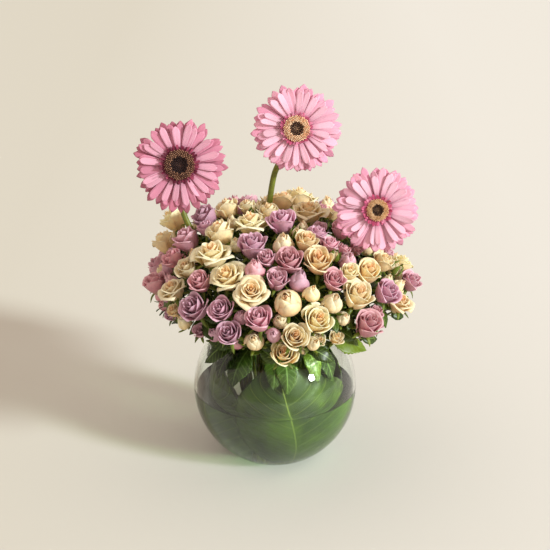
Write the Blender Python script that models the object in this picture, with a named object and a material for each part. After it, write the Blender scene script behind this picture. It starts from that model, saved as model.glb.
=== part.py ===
"""A round glass vase of water that holds spray roses, three gerberas and lining leaves.

Units are metres, +Z is up, and the vase's base stands on z = 0 round the Z axis.
The viewer's side is -Y. A bearing is an angle round the vase in degrees: 0 points at
the viewer and 90 points along +X. A climb is the height angle on the dome of roses.
"""
import math
import random

import bmesh
import bpy
import numpy as np
from mathutils import Matrix, Quaternion, Vector

MM = 0.001
GAP = 0.0003
UP = Vector((0, 0, 1))

# Vase: a blown globe, cut flat below and open at the top
VASE_R = 0.100
VASE_WALL = 0.003
VASE_CENTRE = 0.090
VASE_FLOOR = 0.008
RIM_HEIGHT = 0.170
WATER_LEVEL = 0.090
TURN_STEPS = 20

# Dome that the middles of the rose blooms follow
DOME_CENTRE = Vector((0.006, 0, 0.222))
DOME_R = 0.154
DOME_UP = 0.095
DOME_DOWN = 0.058
AIM_FROM = Vector((0, 0, 0.045))
AIM_STRAY = 20
FOOT_DEPTH = {"open": 0.90, "half": 1.15, "bud": 1.30, "green": 1.35}
BLOOM_SPACING = 1.04
SETTLE_TURNS = 160

# Stems of the roses
TRUNK_R = 0.0021
TRUNK_SIDES = 4
BRANCH_R = 0.0011
LONG_BRANCH = 0.070
NECK_R = 0.050
NECK_HEIGHT = 0.176
NECK_TURNS = 200
FLOOR_SPREAD = 0.70
FLOOR_TWIST = 22
SPRAY_REACH = 0.078
SPRAY_BLOOMS = 4
CLEARANCE = 0.0007
HOLE_GAP = 0.0004

# Gerberas: middle of the eye, diameter of the head, and where each stem stands in the neck
GERBERAS = {
    "left": (Vector((-0.109, -0.020, 0.380)), 0.110, Vector((-0.016, 0.008, 0))),
    "middle": (Vector((0.025, 0.000, 0.417)), 0.104, Vector((-0.009, 0.019, 0))),
    "right": (Vector((0.116, -0.056, 0.338)), 0.100, Vector((0.017, 0.004, 0))),
}
GERBERA_FACES = Vector((-0.02, -0.961, 0.278))
HEAD_DEPTH = 0.016
GERBERA_STEM_R = 0.0035
GERBERA_STEM_SIDES = 6
# Shares of the way from the neck to below the head that a stem has gone where it starts to rise,
# at half its height, and at three quarters
GERBERA_LEANS = {"left": (0.35, 0.95, 1.02), "middle": (0, -0.08, 0.20), "right": (0.10, 0.62, 0.78)}

# Roses that the viewer sees: bearing, climb, diameter in mm, colour, stage, and for one that
# stands proud of the dome, how far out it is
ROSES_IN_VIEW = (
    (-113, 38, 29, "cream", "half", 1.13), (-123, 46, 16, "cream", "bud"), (-119, 43, 18, "cream", "bud"),
    (-135, 52, 20, "mauve", "half"), (-114, 66, 26, "cream", "half"), (-151, 58, 25, "mauve", "half"),
    (-119, 72, 19, "cream", "half"), (-92, 79, 12, "cream", "green"), (-81, 84, 23, "cream", "half"),
    (-48, 70, 39, "cream", "open"), (-2, 76, 30, "mauve", "half"), (-79, 46, 30, "mauve", "half"),
    (-76, 53, 19, "mauve", "half"), (-46, 45, 41, "cream", "open"), (-20, 57, 32, "mauve", "half"),
    (-75, 34, 23, "mauve", "half"), (-55, 35, 23, "cream", "half"), (-27, 34, 38, "cream", "open"),
    (-76, 11, 26, "mauve", "half"), (-57, 18, 32, "cream", "open"), (-40, 28, 25, "mauve", "half"),
    (-5, 49, 20, "mauve", "half"), (-13, 40, 20, "mauve", "bud"), (-2, 37, 24, "mauve", "half"),
    (4, 61, 23, "cream", "bud"), (-41, 15, 31, "mauve", "half"), (-27, 16, 27, "mauve", "half"),
    (-13, 26, 33, "cream", "open"), (-8, 19, 28, "mauve", "half"), (2, 24, 28, "cream", "bud"),
    (-21, 2, 26, "mauve", "half"), (-11, -3, 20, "cream", "bud"), (4, 5, 28, "cream", "half"),
    (2, -19, 29, "cream", "half"), (174, 77, 26, "cream", "half"), (88, 78, 38, "cream", "open"),
    (117, 67, 17, "mauve", "half"), (105, 66, 17, "cream", "half"), (18, 69, 14, "cream", "green"),
    (22, 59, 25, "cream", "half"), (40, 62, 23, "mauve", "half"), (39, 54, 20, "mauve", "half"),
    (64, 60, 23, "mauve", "half"), (8, 48, 29, "mauve", "half"), (10, 38, 22, "mauve", "bud"),
    (24, 45, 31, "cream", "half"), (37, 48, 12, "cream", "green"), (45, 46, 20, "mauve", "bud"),
    (52, 38, 29, "cream", "half"), (66, 33, 23, "cream", "half"), (73, 24, 16, "cream", "green"),
    (94, 15, 22, "cream", "half"), (28, 33, 24, "mauve", "half"), (35, 35, 20, "cream", "half"),
    (15, 29, 18, "cream", "bud"), (22, 24, 22, "cream", "bud"), (37, 22, 33, "cream", "half"),
    (53, 19, 28, "mauve", "half"), (87, 5, 24, "mauve", "half"), (66, 3, 32, "cream", "open"),
    (16, 13, 31, "cream", "half"), (38, 7, 31, "mauve", "half"), (12, 1, 15, "cream", "bud"),
    (9, -11, 13, "cream", "green"), (-3, 11, 15, "mauve", "bud"), (-57, 59, 30, "cream", "half"),
)

# Roses out of sight: drawn in turn for free places on the rest of the dome
HIDDEN_ROSES = 38
HIDDEN_KINDS = (
    (31, "cream", "half"), (28, "mauve", "half"), (37, "cream", "open"), (27, "mauve", "half"),
    (22, "cream", "bud"), (30, "mauve", "half"), (29, "cream", "half"), (20, "mauve", "bud"),
)
HIDDEN_PLACES = 3000
HIDDEN_FROM = 96
HIDDEN_LOWEST = -14

# Rose leaves: bearing, distance from the axis and height of the blade's foot, then of its tip,
# and the blade's width, in mm
LEAVES_IN_VIEW = (
    (45, 92, 182, 62, 122, 163, 30), (-36, 84, 180, -52, 104, 150, 28), (-34, 112, 220, -42, 136, 199, 19),
    (31, 118, 208, 42, 131, 184, 19), (10, 60, 162, 10, 86, 118, 28), (52, 60, 163, 53, 86, 121, 34),
    (-30, 60, 163, -36, 86, 120, 34), (31, 60, 163, 31, 85, 126, 25), (-9, 60, 162, -11, 85, 124, 27),
    (-54, 60, 163, -62, 86, 124, 30), (84, 100, 190, 92, 128, 172, 24), (-84, 96, 190, -92, 126, 170, 24),
)
HIDDEN_LEAVES = 8
LONGEST_STALK = 0.055
LEAF_TURNS = (0, 5, -5, 10, -10, 15, -15, 20, -20)
LEAF_PROBES = ((0, 0), (0.2, 0.8), (0.2, -0.8), (0.2, 0), (0.45, 1), (0.45, -1), (0.45, 0.4), (0.45, -0.4),
               (0.7, 0.7), (0.7, -0.7), (0.7, 0), (1, 0))
STALK_FROM = 0.135
BLADE_ROOM = 0.0016

# Large leaves that line the bowl: bearing of the rib's top and how far it leans on the way down,
# angles from the rib to the left and right edges, radius, and lowest and highest point, in mm
LINING_LEAVES = {
    "front": (3, 20, 46, 74, 84, 26, 142),
    "left": (-74, 6, 54, 50, 80, 25, 126),
    "back": (152, 0, 56, 52, 84, 26, 132),
}
LINING_THICK = 0.0012
LINING_ROWS = 6
LINING_COLUMNS = 4

COLOURS = {
    "glass": (0.93, 0.96, 0.94),
    "water": (0.80, 0.88, 0.82),
    "lining": (0.05, 0.14, 0.03),
    "cream": (0.93, 0.74, 0.50),
    "mauve": (0.52, 0.28, 0.36),
    "petals": (0.86, 0.36, 0.52),
    "eye": (0.22, 0.10, 0.05),
    "stem": (0.20, 0.24, 0.06),
}


def dome_point(bearing, climb, lift=1.0):
    """A point on the dome, or above it where lift is over 1."""
    turn = math.radians(bearing)
    rise = math.radians(climb)
    tall = DOME_UP if climb >= 0 else DOME_DOWN
    flat = DOME_R * math.cos(rise)
    return DOME_CENTRE + lift * Vector((flat * math.sin(turn), -flat * math.cos(turn), tall * math.sin(rise)))


def gerbera_stem(name):
    """The line of a gerbera's stem, from the vase's floor up to the back of its head."""
    eye, wide, neck = GERBERAS[name]
    facing = GERBERA_FACES.normalized()
    back = eye - facing * HEAD_DEPTH
    low = Vector((neck.x, neck.y, NECK_HEIGHT))
    water = standing_line(low)
    lean = Vector((back.x - low.x, back.y - low.y, 0))
    rise = UP * (back.z - low.z)
    start, half, most = GERBERA_LEANS[name]
    first = bezier(low, low + UP * 0.05 + lean * start, low + lean * half + rise * 0.55,
                   low + lean * most + rise * 0.74 - facing * 0.010, 5)
    behind = back - facing * 0.024 - UP * 0.008
    last = bezier(first[-1], first[-1] + (first[-1] - first[-2]) * 0.6, behind, back, 4)
    return water + first[1:] + last[1:]


def bezier(start, pull, push, end, parts):
    """Points along one cubic curve."""
    line = []
    for step in range(parts + 1):
        t = step / parts
        s = 1 - t
        line.append(start * s ** 3 + pull * (3 * s * s * t) + push * (3 * s * t * t) + end * t ** 3)
    return line


def standing_line(neck):
    """A stem's straight stretch in the water and its rise to the neck."""
    turn = Matrix.Rotation(math.radians(FLOOR_TWIST), 3, "Z")
    foot = turn @ Vector((neck.x, neck.y, 0)) * FLOOR_SPREAD
    foot.z = VASE_FLOOR + GAP
    above = foot.lerp(neck, 0.62)
    return [foot, above, neck.copy()]


class Rose:
    """One bloom or bud: its place, size, colour and stage, and the way it faces."""

    def __init__(self, place, wide, colour, stage, seen, rng):
        self.place = place
        self.radius = wide * MM / 2
        self.colour = colour
        self.stage = stage
        self.seen = seen
        self.lift = rng.uniform(0.97, 1.03) if seen else rng.uniform(0.95, 1.04)
        self.stray = Vector([rng.uniform(-1, 1) for _ in range(3)]) * math.tan(math.radians(AIM_STRAY))
        self.spin = rng.uniform(0, 120)

    def aim(self):
        out = (self.place - AIM_FROM).normalized()
        return (out + self.stray * 0.6).normalized()

    def foot(self):
        return self.place - self.aim() * self.radius * FOOT_DEPTH[self.stage]


def roses():
    """All the blooms on the dome: those in view, then those that fill the rest."""
    rng = random.Random(7)
    found = []
    for bearing, climb, wide, colour, stage, *proud in ROSES_IN_VIEW:
        found.append(Rose(dome_point(bearing, climb), wide, colour, stage, True, rng))
        if proud:
            found[-1].lift = proud[0]
    kinds = 0
    low = math.sin(math.radians(HIDDEN_LOWEST))
    for _ in range(HIDDEN_PLACES):
        bearing = rng.uniform(HIDDEN_FROM, 360 - HIDDEN_FROM)
        climb = math.degrees(math.asin(rng.uniform(low, 0.97)))
        wide, colour, stage = HIDDEN_KINDS[kinds % len(HIDDEN_KINDS)]
        place = dome_point(bearing, climb)
        room = min((place - other.place).length - other.radius for other in found)
        if room > wide * MM / 2 and kinds < HIDDEN_ROSES:
            found.append(Rose(place, wide, colour, stage, False, rng))
            kinds += 1
    settle(found)
    return found


def settle(found):
    """Blooms that press on each other slide apart along the dome."""
    fixed = []
    for name in GERBERAS:
        line = gerbera_stem(name)
        for a, b in zip(line, line[1:]):
            fixed += [(a.lerp(b, t), GERBERA_STEM_R + 0.002) for t in (0, 0.33, 0.67)]
        fixed += [(point, 0.009) for point in head_points(name)]
    places = np.array([tuple(rose.place) for rose in found])
    radii = np.array([rose.radius for rose in found])
    lifts = np.array([rose.lift for rose in found])
    yields = np.array([0.25 if rose.seen else 0.75 for rose in found])
    stuck = np.array([tuple(point) for point, thick in fixed])
    thick = np.array([thick for point, thick in fixed])
    share = yields[:, None] / (yields[:, None] + yields[None, :])
    for _ in range(SETTLE_TURNS):
        arms = places[:, None, :] - places[None, :, :]
        apart = np.linalg.norm(arms, axis=2) + np.eye(len(found))
        short = (radii[:, None] + radii[None, :]) * BLOOM_SPACING + 0.0008 - apart
        np.fill_diagonal(short, 0)
        push = np.clip(short, 0, None) * share * 0.7
        places += (arms / apart[:, :, None] * push[:, :, None]).sum(axis=1)
        arms = places[:, None, :] - stuck[None, :, :]
        apart = np.linalg.norm(arms, axis=2)
        push = np.clip(radii[:, None] * 1.08 + thick[None, :] - apart, 0, None) * 0.5
        worst = push.argmax(axis=1)
        rows = np.arange(len(found))
        places += arms[rows, worst] / apart[rows, worst][:, None] * push[rows, worst][:, None]
        arms = places - np.array(tuple(DOME_CENTRE))
        tall = np.where(arms[:, 2] >= 0, DOME_UP, DOME_DOWN)
        reach = np.sqrt((arms[:, 0] / DOME_R) ** 2 + (arms[:, 1] / DOME_R) ** 2 + (arms[:, 2] / tall) ** 2)
        places = np.array(tuple(DOME_CENTRE)) + arms * (lifts / reach)[:, None]
    for rose, place in zip(found, places):
        rose.place = Vector(place)


def head_points(name):
    """Points over a gerbera's head, which the blooms keep clear of."""
    eye, wide, neck = GERBERAS[name]
    facing = GERBERA_FACES.normalized()
    side = facing.cross(UP).normalized()
    rise = side.cross(facing)
    points = [eye - facing * 0.008]
    for ring in (0.25, 0.38, 0.47):
        for step in range(18):
            turn = math.radians(step * 20)
            points.append(eye + (side * math.cos(turn) + rise * math.sin(turn)) * wide * ring)
    return points


def sprays(found):
    """Like-coloured blooms that grow near each other share one stem, lowest blooms first."""
    left = sorted(found, key=lambda rose: rose.place.z)
    groups = []
    while left:
        first = left.pop(0)
        near = [rose for rose in left if rose.colour == first.colour]
        near = [rose for rose in near if (rose.place - first.place).length < SPRAY_REACH]
        near.sort(key=lambda rose: (rose.place - first.place).length)
        group = [first] + near[:SPRAY_BLOOMS - 1]
        for rose in group[1:]:
            left.remove(rose)
        groups.append(group)
    return groups


def neck_places(groups):
    """Where each spray's stem passes the neck: on its own side, and clear of the other stems."""
    spots = []
    for group in groups:
        middle = sum((rose.place for rose in group), Vector()) / len(group)
        out = Vector((middle.x, middle.y, 0))
        spots.append(out.normalized() * NECK_R * min(1, out.length / 0.120) ** 0.8)
    held = [Vector((neck.x, neck.y, 0)) for eye, wide, neck in GERBERAS.values()]
    for _ in range(NECK_TURNS):
        for i, one in enumerate(spots):
            for two in spots[i + 1:]:
                arm = two - one
                short = TRUNK_R * 2 + 0.0042 - arm.length
                if short > 0:
                    push = arm.normalized() * short * 0.5
                    one -= push
                    two += push
            for stem in held:
                arm = one - stem
                short = TRUNK_R + GERBERA_STEM_R + 0.0022 - arm.length
                if short > 0:
                    one += arm.normalized() * short
            if one.length > NECK_R:
                one.length = NECK_R
    return [Vector((spot.x, spot.y, NECK_HEIGHT)) for spot in spots]


class Room:
    """What is already in place, as balls along each stem and in each bloom."""

    def __init__(self):
        self.balls = {}

    def add(self, points, radius, owner):
        rows = np.array([(*point, radius) for point in points])
        if owner in self.balls:
            rows = np.vstack((self.balls[owner], rows))
        self.balls[owner] = rows

    def others(self, owner):
        """All the balls that this owner has to keep clear of."""
        return np.vstack([rows for one, rows in self.balls.items() if one != owner])


def clear(points, radius, balls):
    """The least free distance from these points to the balls."""
    line = np.array([tuple(point) for point in points])
    apart = np.linalg.norm(line[:, None, :] - balls[None, :, :3], axis=2) - balls[None, :, 3]
    return apart.min() - radius


def along(line, step=0.0025):
    """Points spaced evenly along a line of straight stretches."""
    points = []
    for a, b in zip(line, line[1:]):
        count = max(1, round((b - a).length / step))
        points += [a.lerp(b, k / count) for k in range(count)]
    return points + [line[-1]]


def clear_line(start, end, leave, arrive, radius, owner, room, parts=3):
    """The straightest curve between two points that stays clear of what is in place."""
    span = (end - start).length
    chord = (end - start).normalized()
    side = chord.orthogonal().normalized()
    best = None
    balls = room.others(owner)
    for shift in (0, 0.004, 0.008, 0.013, 0.019, 0.026):
        for step in range(8 if shift else 1):
            push = Quaternion(chord, math.radians(45 * step)) @ side * shift
            for early, late in ((1, 1), (1.4, 0.3), (0.3, 1.4)):
                line = bezier(start, start + leave * span * 0.3 + push * early,
                              end - arrive * span * 0.3 + push * late, end, parts)
                free = clear(along(line), radius, balls)
                if free > CLEARANCE:
                    return line
                if best is None or free > best[0]:
                    best = (free, line)
                if not shift:
                    break
    return best[1]


def arrangement():
    """The whole plan: for each spray its stem's line, and each bloom with its branch's line."""
    room = Room()
    for name in GERBERAS:
        room.add(along(gerbera_stem(name)), GERBERA_STEM_R, name)
        room.add(head_points(name), 0.006, name)
    groups = sprays(roses())
    necks = neck_places(groups)
    for number, group in enumerate(groups):
        for rose in group:
            aim = rose.aim()
            for height, wide in ((FOOT_DEPTH[rose.stage] * 1.05, 1.04), (0.8, 0.9), (0.4, 0.62)):
                room.add([rose.foot() + aim * rose.radius * height], rose.radius * wide, number)
    plan = []
    trunks = []
    for number, (group, neck) in enumerate(zip(groups, necks)):
        feet = sum((rose.foot() for rose in group), Vector()) / len(group)
        if len(group) == 1:
            fork = neck.lerp(feet, 0.25)
        else:
            fork = neck.lerp(feet, 0.34)
        lean = (fork - neck).normalized()
        upper = clear_line(neck, fork, (UP + lean).normalized(), lean, TRUNK_R, number, room, parts=2)
        trunk = standing_line(neck) + upper[1:]
        trunks.append(trunk)
        room.add(along(trunk), TRUNK_R, number)
    for number, (group, trunk) in enumerate(zip(groups, trunks)):
        tip = trunk[-1]
        lean = (trunk[-1] - trunk[-2]).normalized()
        branches = []
        for rose in sorted(group, key=lambda rose: (rose.place - tip).length):
            start = tip - lean * 0.003
            way = (rose.foot() - start).normalized()
            parts = 3 if (rose.foot() - start).length > LONG_BRANCH else 2
            line = clear_line(start, rose.foot(), (lean + way).normalized(), rose.aim(), BRANCH_R, number, room,
                              parts)
            room.add(along(line), BRANCH_R, number)
            branches.append((rose, line))
        plan.append((group[0].colour, trunk, branches))
    return plan, room


def blade_side(foot, tip):
    """The direction across a leaf's blade, which faces up and away from the vase's axis."""
    out = Vector((tip.x, tip.y, 0)).normalized()
    return (tip - foot).cross(UP * 0.55 + out * 0.85).normalized()


def leaf_rows():
    """The rows of the leaves in view, then of those at the sides and the back."""
    rng = random.Random(11)
    rows = list(LEAVES_IN_VIEW)
    for number in range(HIDDEN_LEAVES):
        bearing = 102 + number * 180 / HIDDEN_LEAVES + rng.uniform(-5, 5)
        inside = number % 2
        foot = (60, 163) if inside else (rng.uniform(86, 96), rng.uniform(180, 190))
        tip = (86, 122) if inside else (foot[0] + 27, foot[1] - rng.uniform(14, 24))
        rows.append((bearing, *foot, bearing + rng.uniform(-12, 12), *tip, rng.uniform(22, 28)))
    return rows


def leaf_places(plan, room):
    """Each rose leaf: the spray that bears it, its stalk's line, its tip and its width."""
    leaves = []
    for bearing, foot_off, foot_height, tip_bearing, tip_off, tip_height, wide in leaf_rows():
        best = None
        for turn in LEAF_TURNS:
            foot = cylinder_point(bearing + turn, foot_off, foot_height)
            tip = cylinder_point(tip_bearing + turn, tip_off, tip_height)
            side = blade_side(foot, tip) * wide * MM / 2
            blade = [foot.lerp(tip, t) + side * s for t, s in LEAF_PROBES]
            for number, (colour, trunk, branches) in enumerate(plan):
                high = [point for point in along(trunk) if point.z > STALK_FROM]
                root = min(high, key=lambda point: (point - foot).length)
                if (root - foot).length > LONGEST_STALK:
                    continue
                stalk = along([root, foot])
                balls = room.others(number)
                free = min(clear(stalk, BRANCH_R, balls), clear(blade, BLADE_ROOM, balls),
                           rim_room(blade + stalk))
                worth = min(free, CLEARANCE) * 20 - (root - foot).length - abs(turn) * 0.0004
                if best is None or worth > best[0]:
                    best = (worth, number, [root, foot], tip, free, blade)
        worth, number, stalk, tip, free, blade = best
        if free < CLEARANCE * 0.5:
            continue
        room.add(along(stalk), BRANCH_R, number)
        room.add(blade, 0.004, number)
        leaves.append((number, stalk, tip, wide * MM))
    return leaves


def rim_room(points):
    """How far these points stay from the glass near the rim."""
    least = 1
    for point in points:
        if point.z > RIM_HEIGHT + 0.006:
            continue
        off = abs(Vector((point.x, point.y, point.z - VASE_CENTRE)).length - VASE_R + VASE_WALL / 2)
        if point.z > RIM_HEIGHT:
            rim = math.sqrt(VASE_R ** 2 - (RIM_HEIGHT - VASE_CENTRE) ** 2)
            off = max(abs(math.hypot(point.x, point.y) - rim), point.z - RIM_HEIGHT)
        least = min(least, off - VASE_WALL / 2 - 0.0012)
    return least


def cylinder_point(bearing, distance, height):
    """A point from its bearing, and its distance from the axis and height in mm."""
    turn = math.radians(bearing)
    return Vector((math.sin(turn) * distance, -math.cos(turn) * distance, height)) * MM


def material(name, roughness=0.6, clear=0.0):
    """One plain finish for each kind of piece."""
    if name in bpy.data.materials:
        return bpy.data.materials[name]
    made = bpy.data.materials.new(name)
    made.use_nodes = True
    shader = made.node_tree.nodes["Principled BSDF"]
    shader.inputs["Base Color"].default_value = (*COLOURS[name], 1)
    shader.inputs["Roughness"].default_value = roughness
    shader.inputs["Metallic"].default_value = 0
    shader.inputs["Transmission Weight"].default_value = clear
    return made


def solid(name, points, faces, finish):
    """One closed mesh object whose faces point outwards."""
    mesh = bpy.data.meshes.new(name)
    mesh.from_pydata([tuple(point) for point in points], [], faces)
    shape = bmesh.new()
    shape.from_mesh(mesh)
    bmesh.ops.recalc_face_normals(shape, faces=shape.faces)
    shape.to_mesh(mesh)
    shape.free()
    mesh.materials.append(finish)
    made = bpy.data.objects.new(name, mesh)
    bpy.context.scene.collection.objects.link(made)
    return made


def turned(name, profile, finish):
    """A profile of (radius, height) points spun round the Z axis, with a flat disc at each end."""
    shape = bmesh.new()
    line = [shape.verts.new((radius, 0, height)) for radius, height in profile]
    edges = [shape.edges.new(pair) for pair in zip(line, line[1:])]
    bmesh.ops.spin(shape, geom=line + edges, cent=(0, 0, 0), axis=(0, 0, 1), angle=2 * math.pi,
                   steps=TURN_STEPS, use_duplicate=False)
    bmesh.ops.remove_doubles(shape, verts=shape.verts, dist=1e-6)
    bmesh.ops.holes_fill(shape, edges=shape.edges, sides=0)
    bmesh.ops.recalc_face_normals(shape, faces=shape.faces)
    mesh = bpy.data.meshes.new(name)
    shape.to_mesh(mesh)
    shape.free()
    mesh.materials.append(finish)
    made = bpy.data.objects.new(name, mesh)
    bpy.context.scene.collection.objects.link(made)
    mesh.shade_smooth()
    mesh.set_sharp_from_angle(angle=math.radians(40))
    return made


def combine(base, others, operation):
    """One Boolean of the base with a collection of other solids, which then go."""
    if not others:
        return base
    group = bpy.data.collections.new(base.name + "_pieces")
    bpy.context.scene.collection.children.link(group)
    for other in others:
        other.hide_render = True
        other.display_type = "WIRE"
        group.objects.link(other)
        bpy.context.scene.collection.objects.unlink(other)
    change = base.modifiers.new("pieces", "BOOLEAN")
    change.operation = operation
    change.operand_type = "COLLECTION"
    change.collection = group
    change.solver = "EXACT"
    with bpy.context.temp_override(object=base, active_object=base, selected_objects=[base]):
        bpy.ops.object.modifier_apply(modifier=change.name)
    for other in others:
        bpy.data.objects.remove(other, do_unlink=True)
    bpy.data.collections.remove(group)
    keep_largest(base)
    return base


def keep_largest(made):
    """Only the largest body of a mesh stays: a hollow that the joining sealed is filled."""
    shape = bmesh.new()
    shape.from_mesh(made.data)
    left = set(shape.verts)
    bodies = []
    while left:
        body = {left.pop()}
        edge = list(body)
        while edge:
            near = {link.other_vert(point) for point in edge for link in point.link_edges} - body
            body |= near
            edge = list(near)
        left -= body
        bodies.append(body)
    bodies.sort(key=len, reverse=True)
    for body in bodies[1:]:
        bmesh.ops.delete(shape, geom=list(body), context="VERTS")
    shape.to_mesh(made.data)
    shape.free()


def zip_rings(faces, low, high):
    """Triangles between two closed rings of point numbers, whatever their counts."""
    i = 0
    j = 1 if len(high) == 1 else 0
    while i < len(low) or j < len(high):
        if j >= len(high) or (i < len(low) and (i + 1) / len(low) <= (j + 1) / len(high)):
            faces.append((low[i % len(low)], low[(i + 1) % len(low)], high[j % len(high)]))
            i += 1
        else:
            faces.append((low[i % len(low)], high[(j + 1) % len(high)], high[j % len(high)]))
            j += 1


def lofted(rings):
    """Points and faces of one closed skin over a row of rings, capped at both ends."""
    points = [point for ring in rings for point in ring]
    numbers = []
    count = 0
    for ring in rings:
        numbers.append(list(range(count, count + len(ring))))
        count += len(ring)
    faces = [tuple(reversed(numbers[0]))] if len(numbers[0]) > 2 else []
    for low, high in zip(numbers, numbers[1:]):
        zip_rings(faces, low, high)
    if len(numbers[-1]) > 2:
        faces.append(tuple(numbers[-1]))
    return points, faces


def frames(line, start_side):
    """A direction and a side for each point of a line, turning as little as they can."""
    result = []
    side = start_side
    for k, point in enumerate(line):
        ahead = line[min(k + 1, len(line) - 1)] - line[max(k - 1, 0)]
        ahead.normalize()
        side = (side - ahead * side.dot(ahead)).normalized()
        result.append((point, ahead, side.copy()))
    return result


def ring(middle, ahead, side, radius, sides, saw=0.0, teeth=3, shift=0):
    """A ring of points; its radius falls from tooth to tooth where saw isn't 0."""
    across = ahead.cross(side)
    per = sides // teeth
    points = []
    for k in range(sides):
        angle = 2 * math.pi * k / sides
        off = radius
        if saw:
            off *= 1 + saw * (1 - 2 * ((k + shift) % per) / (per - 1))
        points.append(middle + (side * math.cos(angle) + across * math.sin(angle)) * off)
    return points


# Sepals of the blooms: how far each stands out, and the spin past which an open bloom has none
SEPAL_REACH = 0.0035
BARE_FROM = 30

# Rings of a bloom over its foot: points, radius, height and saw, in parts of its radius
ROSE_RINGS = {
    "open": ((6, 0.72, 0.36, 0.05), (9, 1.00, 1.08, 0.10), (9, 0.74, 0.94, 0.04),
             (6, 0.64, 1.24, 0.14), (3, 0.30, 1.00, 0), (1, 0, 1.24, 0)),
    "half": ((6, 0.82, 0.50, 0.05), (9, 0.96, 1.42, 0.10), (9, 0.70, 1.28, 0.04),
             (6, 0.60, 1.62, 0.14), (3, 0.28, 1.36, 0), (1, 0, 1.66, 0)),
    "bud": ((6, 0.92, 0.80, 0.08), (6, 0.84, 1.60, 0.14), (3, 0.30, 2.30, 0)),
    "green": ((6, 1.00, 0.90, 0.08), (3, 0.50, 1.95, 0)),
}

# Blooms of less than this radius have fewer petals
SMALL_BLOOM = 0.0145


def rose_bloom(number, bloom, line, finish):
    """A branch that swells into a bloom whose petals wind round it in layers."""
    start = (line[1] - line[0]).orthogonal().normalized()
    start = Quaternion((line[1] - line[0]).normalized(), math.radians(bloom.spin)) @ start
    rings = []
    for point, ahead, side in frames(line, start)[:-1]:
        rings.append(ring(point, ahead, side, BRANCH_R, 3))
    aim = bloom.aim()
    side = (side - aim * side.dot(aim)).normalized()
    foot = line[-1]
    radius = bloom.radius
    most_sides = 9 if bloom.seen and radius > SMALL_BLOOM else 6
    rings.append(ring(foot, aim, side, BRANCH_R * 1.5, 3))
    for layer, (sides, wide, tall, saw) in enumerate(ROSE_RINGS[bloom.stage]):
        shift = 1 if layer > 2 else 0
        sides = min(sides, most_sides)
        rings.append(ring(foot + aim * radius * tall, aim, side, radius * wide, sides, saw, 3, shift))
    points, faces = lofted(rings)
    if bloom.stage in ("bud", "green") or bloom.spin < BARE_FROM:
        sepals(points, faces, rings, bloom)
    return solid("bloom_%03d" % number, points, faces, finish)


def sepals(points, faces, rings, bloom):
    """Three pointed sepals, each raised from one face of the bloom's underside."""
    layers = len(ROSE_RINGS[bloom.stage])
    foot = sum(len(one) for one in rings[:-layers - 1])
    body = foot + len(rings[-layers - 1])
    top = body + len(rings[-layers])
    under = [face for face in faces if len(face) == 3 and min(face) >= foot and max(face) < top]
    middle = sum(rings[-layers], Vector()) / len(rings[-layers])
    for face in [face for face in under if sum(number >= body for number in face) == 1]:
        corners = [points[number] for number in face]
        place = sum(corners, Vector()) / 3
        out = (corners[1] - corners[0]).cross(corners[2] - corners[0]).normalized()
        out *= 1 if out.dot(place - middle) > 0 else -1
        points.append(place + out * (SEPAL_REACH + 0.2 * bloom.radius))
        last = len(points) - 1
        faces.remove(face)
        faces += [(face[0], face[1], last), (face[1], face[2], last), (face[2], face[0], last)]


def stem(name, line, radius, sides, finish, tip=1.0):
    """A round stem along a line of straight stretches."""
    start = Vector((1, 0, 0))
    rings = []
    for k, (point, ahead, side) in enumerate(frames(line, start)):
        ahead = UP if k == 0 else ahead
        side = (side - ahead * side.dot(ahead)).normalized()
        wide = radius * (tip if k == len(line) - 1 else 1)
        rings.append(ring(point, ahead, side, wide, sides))
    points, faces = lofted(rings)
    return solid(name, points, faces, finish)


# A leaf's outline: parts of its length, and its half width there in parts of the widest
LEAF_TEETH = ((0.20, 0.82), (0.26, 0.68), (0.47, 1.00), (0.54, 0.80), (0.76, 0.62))
LEAF_THICK = 0.0010
LEAF_BOW = 0.10
LEAF_FOLD = 0.12


def leaf(name, line, tip, wide, finish):
    """A pointed rose leaf and its stalk in one skin: toothed edges, a bowed rib, and a fold along it."""
    root, foot = line
    ahead = (tip - foot).normalized()
    long = (tip - foot).length
    side = blade_side(foot, tip)
    top = side.cross(ahead)
    rings = []
    way_out = (foot - root).normalized()
    for point, way in ((root, way_out), (foot, (ahead + way_out).normalized())):
        rings.append(ring(point, way, (side - way * side.dot(way)).normalized(), BRANCH_R * 0.8, 4))
    for t, w in LEAF_TEETH:
        rib = foot + ahead * (long * t) + top * (LEAF_BOW * long * math.sin(math.pi * t))
        half = side * (wide / 2 * w)
        fold = top * (LEAF_FOLD * wide / 2 * w)
        thick = top * LEAF_THICK / 2
        rings.append([rib + half - fold, rib - thick, rib - half - fold, rib + thick])
    rings.append([tip])
    return solid(name, *lofted(rings), finish)


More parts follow.
